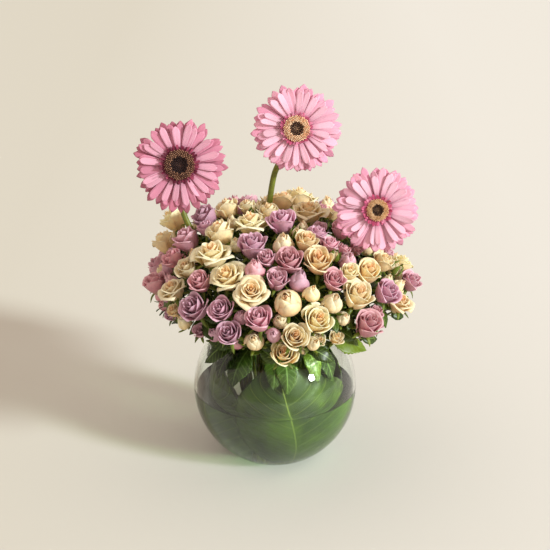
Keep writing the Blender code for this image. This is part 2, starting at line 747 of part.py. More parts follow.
def lining_leaf(name, finish, grow=0.0):
    """A broad leaf that stands in the bowl and follows the glass round it."""
    bearing, lean, left, right, radius, low, high = LINING_LEAVES[name]
    outer = []
    inner = []
    for i in range(LINING_ROWS + 1):
        t = i / LINING_ROWS
        past = grow if i == LINING_ROWS else -grow if i == 0 else 0
        height = (low + (high - low) * t) * MM + past
        shape = math.sin(math.pi * (0.04 + 0.92 * t)) ** 0.62
        for j in range(LINING_COLUMNS + 1):
            s = 2 * j / LINING_COLUMNS - 1
            half = left if s < 0 else right
            turn = math.radians(bearing + lean * (1 - t) + half * shape * s) + s * grow / (radius * MM)
            for side, into in ((1, outer), (-1, inner)):
                reach = radius * MM + side * (LINING_THICK / 2 + grow)
                off = math.sqrt(reach ** 2 - (height - VASE_CENTRE) ** 2)
                into.append(Vector((math.sin(turn) * off, -math.cos(turn) * off, height)))
    wide = LINING_COLUMNS + 1
    count = len(outer)
    faces = []
    for i in range(LINING_ROWS):
        for j in range(LINING_COLUMNS):
            a = i * wide + j
            faces.append((a, a + 1, a + wide + 1))
            faces.append((a, a + wide + 1, a + wide))
            faces.append((count + a, count + a + wide + 1, count + a + 1))
            faces.append((count + a, count + a + wide, count + a + wide + 1))
    bottom = list(range(wide))
    right_edge = [i * wide + LINING_COLUMNS for i in range(1, LINING_ROWS + 1)]
    top = [LINING_ROWS * wide + j for j in range(LINING_COLUMNS - 1, -1, -1)]
    left_edge = [i * wide for i in range(LINING_ROWS - 1, 0, -1)]
    rim = bottom + right_edge + top + left_edge
    for a, b in zip(rim, rim[1:] + rim[:1]):
        faces.append((a, count + a, count + b))
        faces.append((a, count + b, b))
    return solid("lining_leaf_" + name, outer + inner, faces, finish)


def ray_floret(number, facing, eye, turn, end, tip_back, wide, finish):
    """One strap-shaped petal: a flat front, a keel behind, and a blunt tip."""
    side = facing.cross(UP).normalized()
    rise = side.cross(facing)
    out = side * math.cos(turn) + rise * math.sin(turn)
    across = facing.cross(out)
    rings = []
    for t, w, thick in ((0, 0.30, 0.9), (0.72, 1.0, 1.1), (1, 0.55, 0.8)):
        middle = eye + out * (FLORET_ROOT + (end - FLORET_ROOT) * t) + facing * tip_back * t * t
        half = across * wide / 2 * w
        rings.append([middle - half, middle - facing * thick * MM, middle + half])
    points, faces = lofted(rings)
    return solid("floret_%03d" % number, points, faces, finish)


# Layers of a gerbera's petals: count, turn of the first in parts of the step, reach in parts of the
# head's radius, height of the root over the eye's middle and of the tip over the root, and width
FLORET_LAYERS = ((17, 0.0, 1.00, -0.0048, -0.0040, 0.0096), (14, 0.5, 0.84, -0.0008, 0.0035, 0.0088))
FLORET_ROOT = 0.013
FLORET_UNEVEN = 0.035
FLORET_WAVE = 0.0004

# Sections of the head's pieces, as heights over the eye's middle and radii
RECEPTACLE = ((-0.0090, 0.0100), (-0.0060, 0.0165), (0.0012, 0.0170))
EYE_SECTIONS = ((0.0015, 0.0158, 0), (0.0040, 0.0150, 0.05), (0.0055, 0.0115, 0.04),
                (0.0042, 0.0088, 0.06), (0.0058, 0.0060, 0.05))
EYE_TEETH = 8
CUP_SECTIONS = ((-0.0220, 0.0032), (-0.0170, 0.0085), (-0.0093, 0.0115))


def gerbera(name):
    """A gerbera: its two layers of petals, its eye, and its calyx and stem."""
    eye, wide, neck = GERBERAS[name]
    facing = GERBERA_FACES.normalized()
    side = facing.cross(UP).normalized()
    pink = material("petals")
    rings = [ring(eye + facing * height, facing, side, radius, 12) for height, radius in RECEPTACLE]
    base = solid("gerbera_%s_petals" % name, *lofted(rings), pink)
    florets = []
    for count, offset, reach, depth, tip_back, across in FLORET_LAYERS:
        for k in range(count):
            turn = 2 * math.pi * (k + offset) / count
            end = wide / 2 * reach * (1 + FLORET_UNEVEN * math.sin(5.3 * k + depth * 900))
            middle = eye + facing * (depth + FLORET_WAVE * math.sin(2.1 * k))
            florets.append(ray_floret(len(florets), facing, middle, turn, end, tip_back, across, pink))
    combine(base, florets, "UNION")
    rings = [ring(eye + facing * height, facing, side, radius, 2 * EYE_TEETH, saw, EYE_TEETH)
             for height, radius, saw in EYE_SECTIONS]
    solid("gerbera_%s_eye" % name, *lofted(rings), material("eye"))
    line = gerbera_stem(name)
    line[-1] -= facing * MM
    green = material("stem")
    stalk = stem("gerbera_%s_stem" % name, line, GERBERA_STEM_R, GERBERA_STEM_SIDES, green)
    rings = [ring(eye + facing * height, facing, side, radius, 10) for height, radius in CUP_SECTIONS]
    combine(stalk, [solid("cup", *lofted(rings), green)], "UNION")


def inner_wall():
    """The inner wall's profile, from the rim down to the edge of the flat floor."""
    inner = VASE_R - VASE_WALL
    high = math.asin((RIM_HEIGHT - 0.001 - VASE_CENTRE) / inner)
    low = math.asin((VASE_FLOOR + 0.004 - VASE_CENTRE) / inner)
    turns = [high + (low - high) * k / 7 for k in range(8)]
    wall = [(inner * math.cos(turn), VASE_CENTRE + inner * math.sin(turn)) for turn in turns]
    return wall + [(0.042, VASE_FLOOR)]


def vase():
    """The glass globe: outer wall up to a rounded rim, then the inner wall down to its floor."""
    base = math.sqrt(VASE_R ** 2 - VASE_CENTRE ** 2)
    profile = [(base - 0.002, 0)]
    low = math.atan2(-VASE_CENTRE + 0.0012, base)
    high = math.asin((RIM_HEIGHT - 0.001 - VASE_CENTRE) / VASE_R)
    for k in range(9):
        turn = low + (high - low) * k / 8
        profile.append((VASE_R * math.cos(turn), VASE_CENTRE + VASE_R * math.sin(turn)))
    wall = inner_wall()
    profile.append((wall[0][0] + VASE_WALL * 0.45, RIM_HEIGHT))
    return turned("glass_vase", profile + wall, material("glass", 0.02, 1.0))


def water(holes):
    """The water, with a plain hole for each stem and a slot for each lining leaf."""
    shrink = 1 - GAP * 1.15 / (VASE_R - VASE_WALL)
    wall = []
    for radius, height in inner_wall():
        wall.append((radius * shrink, VASE_CENTRE + (height - VASE_CENTRE) * shrink))
    profile = []
    for (wide, above), (narrow, below) in zip(wall, wall[1:]):
        if above > WATER_LEVEL >= below:
            share = (above - WATER_LEVEL) / (above - below)
            profile.append((wide + (narrow - wide) * share, WATER_LEVEL))
        if below < WATER_LEVEL:
            profile.append((narrow, below))
    body = turned("water", profile, material("water", 0.05, 1.0))
    cutters = []
    for number, (line, radius, sides) in enumerate(holes):
        way = (line[1] - line[0]).normalized()
        long = [line[0] - way * 0.004, line[1] + way * 0.004]
        rings = [ring(point, UP, Vector((1, 0, 0)), radius + HOLE_GAP, sides) for point in long]
        cutters.append(solid("hole_%02d" % number, *lofted(rings), material("water")))
    for name in LINING_LEAVES:
        cutters.append(lining_leaf(name, material("water"), HOLE_GAP))
    combine(body, cutters, "DIFFERENCE")
    return body


def build():
    """Everything, from the vase up."""
    plan, room = arrangement()
    leaves = leaf_places(plan, room)
    vase()
    holes = [(trunk, TRUNK_R, TRUNK_SIDES) for colour, trunk, branches in plan]
    holes += [(gerbera_stem(name), GERBERA_STEM_R, GERBERA_STEM_SIDES) for name in GERBERAS]
    water(holes)
    for name in LINING_LEAVES:
        lining_leaf(name, material("lining"))
    for name in GERBERAS:
        gerbera(name)
    counts = {"cream": 0, "mauve": 0}
    for number, (colour, trunk, branches) in enumerate(plan):
        counts[colour] += 1
        finish = material(colour)
        name = "%s_spray_%02d" % (colour, counts[colour])
        base = stem(name, trunk, TRUNK_R, TRUNK_SIDES, finish, 0.9)
        pieces = [rose_bloom(k, bloom, line, finish) for k, (bloom, line) in enumerate(branches)]
        for k, (owner, line, tip, wide) in enumerate(leaves):
            if owner == number:
                pieces.append(leaf("leaf_%02d" % k, line, tip, wide, finish))
        combine(base, pieces, "UNION")


for old in list(bpy.data.objects):
    bpy.data.objects.remove(old, do_unlink=True)
build()
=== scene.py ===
"""The looks of a round glass vase of spray roses, gerberas and lining leaves.

Units are metres, +Z is up, and the viewer's side is -Y. A bearing is an angle round the vase in
degrees: 0 points at the viewer and 90 points along +X. Colours are given as 8-bit sRGB values.
"""
import math
import random

import bmesh
import bpy
import numpy as np
from mathutils import Matrix, Quaternion, Vector


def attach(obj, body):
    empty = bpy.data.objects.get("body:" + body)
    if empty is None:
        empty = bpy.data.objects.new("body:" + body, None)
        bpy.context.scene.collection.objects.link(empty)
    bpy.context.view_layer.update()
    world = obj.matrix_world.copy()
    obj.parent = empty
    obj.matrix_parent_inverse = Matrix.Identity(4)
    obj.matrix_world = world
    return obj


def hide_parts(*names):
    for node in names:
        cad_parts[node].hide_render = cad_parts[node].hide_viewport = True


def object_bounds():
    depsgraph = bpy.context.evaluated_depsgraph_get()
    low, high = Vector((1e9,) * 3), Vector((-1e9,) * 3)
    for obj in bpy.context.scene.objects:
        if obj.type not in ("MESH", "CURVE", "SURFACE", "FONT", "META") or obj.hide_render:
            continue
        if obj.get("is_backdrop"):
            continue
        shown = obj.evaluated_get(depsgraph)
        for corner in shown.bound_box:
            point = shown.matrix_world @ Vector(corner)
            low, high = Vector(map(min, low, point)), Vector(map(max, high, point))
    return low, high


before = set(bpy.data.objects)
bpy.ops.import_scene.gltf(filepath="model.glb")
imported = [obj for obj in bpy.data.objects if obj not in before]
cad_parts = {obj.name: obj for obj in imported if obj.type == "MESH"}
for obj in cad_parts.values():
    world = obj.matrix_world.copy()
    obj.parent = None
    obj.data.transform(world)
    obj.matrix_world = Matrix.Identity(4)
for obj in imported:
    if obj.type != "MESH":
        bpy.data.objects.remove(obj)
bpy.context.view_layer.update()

# Camera
# A long lens stands 1.5 m in front of the vase and looks down on it by 22 degrees.
CAMERA_PLACE = (0, -1.517, 0.8565)
CAMERA_DOWN = 22.26
CAMERA_LENS = 89.6

camera_data = bpy.data.cameras.new("camera")
camera_data.lens = CAMERA_LENS
camera_data.sensor_width = 36
camera = bpy.data.objects.new("camera", camera_data)
camera.location = CAMERA_PLACE
camera.rotation_euler = (math.radians(90 - CAMERA_DOWN), 0, 0)
bpy.context.scene.collection.objects.link(camera)
bpy.context.scene.camera = camera

# Backdrop and light
# A warm white paper sweep lies under everything, with painted shade that darkens and greys it towards its left. One
# low soft lamp stands far off, half to the right and half in front, and pale walls fill the shadows warmly.
PAPER_SHADED_LEFT = (195, 194, 183)
PAPER_LIT_RIGHT = (210, 211, 206)
PAPER_SHADE_SPAN = 0.45
ROOM_GLOW = (255, 236, 223)
ROOM_STRENGTH = 0.92
ROOM_MIRRORED = 0.42
LAMP_BEARING = 59
LAMP_CLIMB = 23
LAMP_SPREAD = 9
LAMP_STRENGTH = 4.35
LAMP_COLOUR = (242, 250, 250)


def tone(red, green, blue):
    """A linear colour from 8-bit sRGB values."""
    return tuple(((c / 255 + 0.055) / 1.055) ** 2.4 if c > 10 else c / 3295 for c in (red, green, blue))


def select_only(*pieces):
    """Deselects everything, then selects these pieces and makes the first one active."""
    bpy.ops.object.select_all(action="DESELECT")
    for piece in pieces:
        piece.select_set(True)
    bpy.context.view_layer.objects.active = pieces[0]


def plain_finish(name, colour, roughness):
    """A new node material, its shader and its node tree."""
    finish = bpy.data.materials.new(name)
    finish.use_nodes = True
    shader = finish.node_tree.nodes["Principled BSDF"]
    shader.inputs["Base Color"].default_value = (*tone(*colour), 1)
    shader.inputs["Roughness"].default_value = roughness
    return finish, shader, finish.node_tree


def add_node(tree, kind, **inputs):
    """A shader node with some of its sockets set."""
    node = tree.nodes.new(kind)
    for socket, value in inputs.items():
        node.inputs[socket.replace("_", " ")].default_value = value
    return node


bpy.ops.object.select_all(action="DESELECT")
bpy.ops.mesh.primitive_plane_add(size=16, location=(0, 3, -0.0002))
paper = bpy.context.active_object
paper.name = "paper_sweep"
bpy.ops.object.transform_apply(location=True, rotation=True, scale=True)
finish, shader, tree = plain_finish("paper", PAPER_LIT_RIGHT, 0.85)
shader.inputs["Specular IOR Level"].default_value = 0.2
grain = add_node(tree, "ShaderNodeTexNoise", Scale=900.0, Detail=3.0)
bump = add_node(tree, "ShaderNodeBump", Strength=0.03, Distance=0.0002)
# Painted shade: the paper's colour runs along X from its lit tone at the right to a darker, greyer tone at the left
place = tree.nodes.new("ShaderNodeTexCoord")
across = tree.nodes.new("ShaderNodeSeparateXYZ")
share = add_node(tree, "ShaderNodeMapRange", From_Min=-PAPER_SHADE_SPAN, From_Max=PAPER_SHADE_SPAN)
shift = tree.nodes.new("ShaderNodeMix")
shift.data_type = "RGBA"
shift.inputs["A"].default_value = (*tone(*PAPER_SHADED_LEFT), 1)
shift.inputs["B"].default_value = (*tone(*PAPER_LIT_RIGHT), 1)
tree.links.new(place.outputs["Object"], across.inputs["Vector"])
tree.links.new(across.outputs["X"], share.inputs["Value"])
tree.links.new(share.outputs["Result"], shift.inputs["Factor"])
tree.links.new(shift.outputs["Result"], shader.inputs["Base Color"])
tree.links.new(place.outputs["Object"], grain.inputs["Vector"])
tree.links.new(grain.outputs["Fac"], bump.inputs["Height"])
tree.links.new(bump.outputs["Normal"], shader.inputs["Normal"])
paper.data.materials.append(finish)
paper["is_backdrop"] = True

world = bpy.data.worlds.new("room")
world.use_nodes = True
world.node_tree.nodes["Background"].inputs["Color"].default_value = (*tone(*ROOM_GLOW), 1)
seen_by = world.node_tree.nodes.new("ShaderNodeLightPath")
mirrored = add_node(world.node_tree, "ShaderNodeMapRange", To_Min=ROOM_STRENGTH, To_Max=ROOM_MIRRORED)
world.node_tree.links.new(seen_by.outputs["Is Glossy Ray"], mirrored.inputs["Value"])
world.node_tree.links.new(mirrored.outputs["Result"], world.node_tree.nodes["Background"].inputs["Strength"])
bpy.context.scene.world = world

lamp_data = bpy.data.lights.new("soft_lamp", "SUN")
lamp_data.energy = LAMP_STRENGTH
lamp_data.angle = math.radians(LAMP_SPREAD)
lamp_data.color = tone(*LAMP_COLOUR)
lamp = bpy.data.objects.new("soft_lamp", lamp_data)
turn = math.radians(LAMP_BEARING)
climb = math.radians(LAMP_CLIMB)
way = Vector((math.cos(climb) * math.sin(turn), -math.cos(climb) * math.cos(turn), math.sin(climb)))
lamp.rotation_euler = way.to_track_quat("Z", "Y").to_euler()
bpy.context.scene.collection.objects.link(lamp)
bpy.context.scene.view_settings.view_transform = "Standard"

# Glass vase
# A blown globe of clear glass, ground flat below and opened at the top, where its lip is melted
# round. The wall is 3 mm thick and gathers to 8 mm at the floor.
MM = 0.001
GAP = 0.0003
UP = Vector((0, 0, 1))
VASE_R = 0.100
VASE_WALL = 0.003
VASE_CENTRE = 0.090
VASE_FLOOR = 0.008
RIM_HEIGHT = 0.170
WATER_LEVEL = 0.090
GLASS_TINT = (247, 251, 247)
GLASS_SHADE = (232, 238, 230)


def arc(radius, low, high, parts):
    """Points (distance from the axis, height) of a circle round the globe's middle."""
    turns = [low + (high - low) * k / parts for k in range(parts + 1)]
    return [(radius * math.cos(turn), VASE_CENTRE + radius * math.sin(turn)) for turn in turns]


def spun(name, profile, steps=112):
    """A profile spun round the Z axis in edit mode, with its ends closed on the axis."""
    mesh = bpy.data.meshes.new(name)
    points = [(across, 0, height) for across, height in profile]
    mesh.from_pydata(points, [(k, k + 1) for k in range(len(points) - 1)], [])
    piece = bpy.data.objects.new(name, mesh)
    bpy.context.scene.collection.objects.link(piece)
    select_only(piece)
    bpy.ops.object.mode_set(mode="EDIT")
    bpy.ops.mesh.select_all(action="SELECT")
    bpy.ops.mesh.spin(steps=steps, angle=2 * math.pi, center=(0, 0, 0), axis=(0, 0, 1))
    bpy.ops.mesh.select_all(action="SELECT")
    bpy.ops.mesh.remove_doubles(threshold=0.00002)
    bpy.ops.mesh.normals_make_consistent(inside=False)
    bpy.ops.object.mode_set(mode="OBJECT")
    mesh.shade_smooth()
    bpy.ops.object.shade_smooth_by_angle(angle=math.radians(40))
    return piece


def clear_finish(name, tint, shade, bending, roughness):
    """A clear body that bends light, but lets the lamp's light straight through."""
    finish, shader, tree = plain_finish(name, tint, roughness)
    shader.inputs["Transmission Weight"].default_value = 1
    shader.inputs["IOR"].default_value = bending
    through = add_node(tree, "ShaderNodeBsdfTransparent", Color=(*tone(*shade), 1))
    path = tree.nodes.new("ShaderNodeLightPath")
    mix = tree.nodes.new("ShaderNodeMixShader")
    tree.links.new(path.outputs["Is Shadow Ray"], mix.inputs["Fac"])
    tree.links.new(shader.outputs["BSDF"], mix.inputs[1])
    tree.links.new(through.outputs["BSDF"], mix.inputs[2])
    tree.links.new(mix.outputs["Shader"], tree.nodes["Material Output"].inputs["Surface"])
    return finish, shader, tree


base_r = math.sqrt(VASE_R ** 2 - VASE_CENTRE ** 2)
inner_r = VASE_R - VASE_WALL
rim_turn = math.asin((RIM_HEIGHT - 0.0015 - VASE_CENTRE) / VASE_R)
outer = arc(VASE_R, math.atan2(0.0012 - VASE_CENTRE, base_r), rim_turn, 56)
inner = arc(inner_r, math.asin((RIM_HEIGHT - 0.0015 - VASE_CENTRE) / inner_r),
            math.asin((VASE_FLOOR + 0.004 - VASE_CENTRE) / inner_r), 56)
lip_middle = ((outer[-1][0] + inner[0][0]) / 2, RIM_HEIGHT - 0.0015)
lip_r = (outer[-1][0] - inner[0][0]) / 2
lip = [(lip_middle[0] + lip_r * math.cos(math.radians(turn)), lip_middle[1] + 0.0015 * math.sin(math.radians(turn)))
       for turn in (30, 60, 90, 120, 150)]
floor_edge = [(inner[-1][0] * (1 - t) + 0.040 * t, VASE_FLOOR + 0.004 * (1 - t) ** 2) for t in (0.35, 0.7, 1)]
glass_profile = [(0, 0.0004), (base_r - 0.006, 0.0004), (base_r - 0.003, 0)] + outer + lip + inner
glass = spun("glass_bowl", glass_profile + floor_edge + [(0, VASE_FLOOR)])
finish, shader, tree = clear_finish("clear_glass", GLASS_TINT, GLASS_SHADE, 1.46, 0.0)
glass.data.materials.append(finish)
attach(glass, "root")
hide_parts("glass_vase")

# Water
# Clear water fills the globe to its middle and wets the wall, where its edge creeps up a little.
WATER_TINT = (238, 246, 232)
WATER_SHADE = (226, 236, 220)
WETTING = 0.0006

wet_r = inner_r + WETTING
water_edge = [(wet_r, WATER_LEVEL + 0.0012), (wet_r - 0.0012, WATER_LEVEL + 0.0004), (wet_r - 0.0035, WATER_LEVEL)]
water_wall = arc(wet_r, math.asin((VASE_FLOOR + 0.004 - VASE_CENTRE) / wet_r), 0, 40)
water_floor = [(0, VASE_FLOOR - WETTING)] + [(across, height - WETTING) for across, height in reversed(floor_edge)]
water = spun("water_body", water_floor + water_wall[1:] + water_edge + [(0, WATER_LEVEL)])
finish, shader, tree = clear_finish("water", WATER_TINT, WATER_SHADE, 1.33, 0.0)
water.data.materials.append(finish)
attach(water, "root")
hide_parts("water")

# Lining leaves
# Broad smooth leaves stand in the globe and follow its wall, so that they hide the stems. A pale
# rib runs up each, with side veins that swing out to the edges, and the blade swells between them.
LINING_LEAVES = {
    "front": (3, 20, 46, 74, 84, 26, 142),
    "left": (-74, 6, 54, 50, 80, 25, 126),
    "back": (152, 0, 56, 52, 84, 26, 132),
}
LINING_THICK = 0.0012
LINING_DROP = 7
LINING_FLARE = 9
LINING_ROWS = 44
LINING_COLUMNS = 40
LINING_VEINS = 9
VEIN_SWING = 1.5
LINING_DARK = (42, 62, 8)
LINING_BRIGHT = (80, 104, 18)
LINING_VEIN = (138, 152, 66)


class Sheets:
    """Thin sheets gathered for one mesh, with each point's place on its sheet and its tint."""

    def __init__(self):
        self.points = []
        self.faces = []
        self.spots = []
        self.tints = []
        self.count = 0

    def add(self, grid, spots, tints):
        """A grid of points: rows by columns by three."""
        rows, columns = grid.shape[:2]
        number = np.arange(rows * columns).reshape(rows, columns) + self.count
        quads = np.stack((number[:-1, :-1], number[:-1, 1:], number[1:, 1:], number[1:, :-1]), axis=-1)
        self.points.append(grid.reshape(-1, 3))
        self.faces.append(quads.reshape(-1, 4))
        self.spots.append(spots.reshape(-1, 2))
        self.tints.append(tints.reshape(-1, 4))
        self.count += rows * columns

    def made(self, name):
        """The mesh object of all the sheets."""
        mesh = bpy.data.meshes.new(name)
        points = np.concatenate(self.points)
        mesh.from_pydata(points.tolist(), [], np.concatenate(self.faces).tolist())
        spots = np.concatenate(self.spots)
        corners = np.empty(len(mesh.loops), dtype=np.int32)
        mesh.loops.foreach_get("vertex_index", corners)
        mesh.uv_layers.new(name="sheet").data.foreach_set("uv", spots[corners].astype(np.float32).ravel())
        tint = mesh.color_attributes.new("tint", "FLOAT_COLOR", "POINT")
        tint.data.foreach_set("color", np.concatenate(self.tints).astype(np.float32).ravel())
        piece = bpy.data.objects.new(name, mesh)
        bpy.context.scene.collection.objects.link(piece)
        return piece


def thicken(piece, thick):
    """Gives sheets their thickness, half to each side."""
    solidify = piece.modifiers.new("thickness", "SOLIDIFY")
    solidify.thickness = thick
    solidify.offset = 0
    select_only(piece)
    bpy.ops.object.modifier_apply(modifier=solidify.name)
    piece.data.shade_smooth()


def grid_of(rows, columns):
    """Places on a sheet: u from -1 to 1 across it, and v from 0 to 1 up it."""
    v, u = np.meshgrid(np.linspace(0, 1, rows), np.linspace(-1, 1, columns), indexing="ij")
    return u, v


def even_tint(shape, colour, last=1.0):
    """One tint for a whole sheet."""
    tints = np.empty((*shape, 4))
    tints[..., :3] = tone(*colour)
    tints[..., 3] = last
    return tints


def vein_distance(tree, veins, swing):
    """Distances on a leaf to its rib and to its side veins, from the leaf's own map."""
    where = add_node(tree, "ShaderNodeUVMap")
    where.uv_map = "sheet"
    parts = add_node(tree, "ShaderNodeSeparateXYZ")
    tree.links.new(where.outputs["UV"], parts.inputs["Vector"])
    across = add_node(tree, "ShaderNodeMath")
    across.operation = "ABSOLUTE"
    tree.links.new(parts.outputs["X"], across.inputs[0])
    rise = add_node(tree, "ShaderNodeMath")
    rise.operation = "MULTIPLY_ADD"
    rise.inputs[1].default_value = -swing
    tree.links.new(across.outputs[0], rise.inputs[0])
    step = add_node(tree, "ShaderNodeMath")
    step.operation = "MULTIPLY"
    step.inputs[1].default_value = veins
    tree.links.new(parts.outputs["Y"], step.inputs[0])
    tree.links.new(step.outputs[0], rise.inputs[2])
    wave = add_node(tree, "ShaderNodeMath")
    wave.operation = "PINGPONG"
    wave.inputs[1].default_value = 0.5
    tree.links.new(rise.outputs[0], wave.inputs[0])
    return across.outputs[0], wave.outputs[0]


def ramp(tree, source, low, high, first, last):
    """A map range from a source value, clamped."""
    node = tree.nodes.new("ShaderNodeMapRange")
    node.inputs["From Min"].default_value = low
    node.inputs["From Max"].default_value = high
    node.inputs["To Min"].default_value = first
    node.inputs["To Max"].default_value = last
    node.interpolation_type = "SMOOTHSTEP"
    tree.links.new(source, node.inputs["Value"])
    return node.outputs["Result"]


def mixed(tree, share, first, second):
    """Two colours mixed by a share; each is a socket or a fixed colour."""
    node = tree.nodes.new("ShaderNodeMix")
    node.data_type = "RGBA"
    tree.links.new(share, node.inputs["Factor"])
    for value, socket in ((first, node.inputs["A"]), (second, node.inputs["B"])):
        if isinstance(value, bpy.types.NodeSocket):
            tree.links.new(value, socket)
        else:
            socket.default_value = (*tone(*value), 1)
    return node.outputs["Result"]


finish, shader, tree = plain_finish("lining_leaf", LINING_DARK, 0.32)
place = tree.nodes.new("ShaderNodeTexCoord")
cloud = add_node(tree, "ShaderNodeTexNoise", Scale=22.0, Detail=4.0)
tree.links.new(place.outputs["Object"], cloud.inputs["Vector"])
blade = mixed(tree, ramp(tree, cloud.outputs["Fac"], 0.35, 0.68, 0, 1), LINING_DARK, LINING_BRIGHT)
rib, veins = vein_distance(tree, LINING_VEINS, VEIN_SWING * 2)
with_veins = mixed(tree, ramp(tree, veins, 0.01, 0.07, 0.30, 0), blade, LINING_VEIN)
with_rib = mixed(tree, ramp(tree, rib, 0.005, 0.015, 0.80, 0), with_veins, LINING_VEIN)
tree.links.new(with_rib, shader.inputs["Base Color"])
glow = tree.nodes.new("ShaderNodeBsdfTranslucent")
tree.links.new(with_rib, glow.inputs["Color"])
mix = add_node(tree, "ShaderNodeMixShader", Fac=0.25)
tree.links.new(shader.outputs["BSDF"], mix.inputs[1])
tree.links.new(glow.outputs["BSDF"], mix.inputs[2])
tree.links.new(mix.outputs["Shader"], tree.nodes["Material Output"].inputs["Surface"])
lining_finish = finish

for name, (bearing, lean, left, right, radius, low, high) in LINING_LEAVES.items():
    u, v = grid_of(LINING_ROWS, LINING_COLUMNS)
    outline = np.sin(math.pi * (0.04 + 0.92 * v)) ** np.where(v < 0.5, 0.36, 0.62)
    half = np.where(u < 0, left, right) + LINING_FLARE * np.clip(1 - v / 0.45, 0, 1)
    turns = np.radians(bearing + lean * (1 - v) + half * outline * u)
    phase = v * LINING_VEINS - VEIN_SWING * 2 * abs(u)
    swell = 0.0005 * np.sin(2 * math.pi * phase) * np.clip(abs(u) * 3, 0, 1)
    rib_groove = 0.0008 * np.exp(-(u / 0.05) ** 2)
    height = (high - (high - low + LINING_DROP) * (1 - v)) * MM
    reach = radius * MM + swell - rib_groove + 0.0012 * np.sin(5 * v + 3 * u)
    off = np.sqrt(np.maximum(reach ** 2 - (height - VASE_CENTRE) ** 2, 1e-6))
    grid = np.stack((np.sin(turns) * off, -np.cos(turns) * off, height), axis=-1)
    sheets = Sheets()
    sheets.add(grid, np.stack((u, v), axis=-1), even_tint(u.shape, LINING_DARK))
    leaf = sheets.made("broad_leaf_" + name)
    thicken(leaf, LINING_THICK * 0.7)
    leaf.data.materials.append(lining_finish)
    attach(leaf, "root")
    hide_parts("lining_leaf_" + name)

# How the stems stand
# The flowers stand in the bowl as a hand would set them: every stem reaches the floor, crosses the
# water, passes the neck on its own side, and forks below the dome that the blooms make. The three
# gerberas stand above them.
# Dome that the middles of the rose blooms follow
DOME_CENTRE = Vector((0.006, 0, 0.222))
DOME_R = 0.154
DOME_UP = 0.095
DOME_DOWN = 0.058
AIM_FROM = Vector((0, 0, 0.045))
AIM_STRAY = 20
FOOT_DEPTH = {"open": 0.90, "half": 1.15, "bud": 1.30, "green": 1.35}
BLOOM_SPACING = 1.04
SETTLE_TURNS = 160

# Stems of the roses
TRUNK_R = 0.0021
TRUNK_SIDES = 4
BRANCH_R = 0.0011
LONG_BRANCH = 0.070
NECK_R = 0.050
NECK_HEIGHT = 0.176
NECK_TURNS = 200
FLOOR_SPREAD = 0.70
FLOOR_TWIST = 22
SPRAY_REACH = 0.078
SPRAY_BLOOMS = 4
CLEARANCE = 0.0007
HOLE_GAP = 0.0004

# Gerberas: middle of the eye, diameter of the head, and where each stem stands in the neck
GERBERAS = {
    "left": (Vector((-0.109, -0.020, 0.380)), 0.110, Vector((-0.016, 0.008, 0))),
    "middle": (Vector((0.025, 0.000, 0.417)), 0.104, Vector((-0.009, 0.019, 0))),
    "right": (Vector((0.116, -0.056, 0.338)), 0.100, Vector((0.017, 0.004, 0))),
}
GERBERA_FACES = Vector((-0.02, -0.961, 0.278))
HEAD_DEPTH = 0.016
GERBERA_STEM_R = 0.0035
GERBERA_STEM_SIDES = 6
# Shares of the way from the neck to below the head that a stem has gone where it starts to rise,
# at half its height, and at three quarters
GERBERA_LEANS = {"left": (0.35, 0.95, 1.02), "middle": (0, -0.08, 0.20), "right": (0.10, 0.62, 0.78)}

# Roses that the viewer sees: bearing, climb, diameter in mm, colour, stage, and for one that
# stands proud of the dome, how far out it is
ROSES_IN_VIEW = (
    (-113, 38, 29, "cream", "half", 1.13), (-123, 46, 16, "cream", "bud"), (-119, 43, 18, "cream", "bud"),
    (-135, 52, 20, "mauve", "half"), (-114, 66, 26, "cream", "half"), (-151, 58, 25, "mauve", "half"),
    (-119, 72, 19, "cream", "half"), (-92, 79, 12, "cream", "green"), (-81, 84, 23, "cream", "half"),
    (-48, 70, 39, "cream", "open"), (-2, 76, 30, "mauve", "half"), (-79, 46, 30, "mauve", "half"),
    (-76, 53, 19, "mauve", "half"), (-46, 45, 41, "cream", "open"), (-20, 57, 32, "mauve", "half"),
    (-75, 34, 23, "mauve", "half"), (-55, 35, 23, "cream", "half"), (-27, 34, 38, "cream", "open"),
    (-76, 11, 26, "mauve", "half"), (-57, 18, 32, "cream", "open"), (-40, 28, 25, "mauve", "half"),
    (-5, 49, 20, "mauve", "half"), (-13, 40, 20, "mauve", "bud"), (-2, 37, 24, "mauve", "half"),
    (4, 61, 23, "cream", "bud"), (-41, 15, 31, "mauve", "half"), (-27, 16, 27, "mauve", "half"),
    (-13, 26, 33, "cream", "open"), (-8, 19, 28, "mauve", "half"), (2, 24, 28, "cream", "bud"),
    (-21, 2, 26, "mauve", "half"), (-11, -3, 20, "cream", "bud"), (4, 5, 28, "cream", "half"),
    (2, -19, 29, "cream", "half"), (174, 77, 26, "cream", "half"), (88, 78, 38, "cream", "open"),
    (117, 67, 17, "mauve", "half"), (105, 66, 17, "cream", "half"), (18, 69, 14, "cream", "green"),
    (22, 59, 25, "cream", "half"), (40, 62, 23, "mauve", "half"), (39, 54, 20, "mauve", "half"),
    (64, 60, 23, "mauve", "half"), (8, 48, 29, "mauve", "half"), (10, 38, 22, "mauve", "bud"),
    (24, 45, 31, "cream", "half"), (37, 48, 12, "cream", "green"), (45, 46, 20, "mauve", "bud"),
    (52, 38, 29, "cream", "half"), (66, 33, 23, "cream", "half"), (73, 24, 16, "cream", "green"),
    (94, 15, 22, "cream", "half"), (28, 33, 24, "mauve", "half"), (35, 35, 20, "cream", "half"),
    (15, 29, 18, "cream", "bud"), (22, 24, 22, "cream", "bud"), (37, 22, 33, "cream", "half"),
    (53, 19, 28, "mauve", "half"), (87, 5, 24, "mauve", "half"), (66, 3, 32, "cream", "open"),
    (16, 13, 31, "cream", "half"), (38, 7, 31, "mauve", "half"), (12, 1, 15, "cream", "bud"),
    (9, -11, 13, "cream", "green"), (-3, 11, 15, "mauve", "bud"), (-57, 59, 30, "cream", "half"),
)

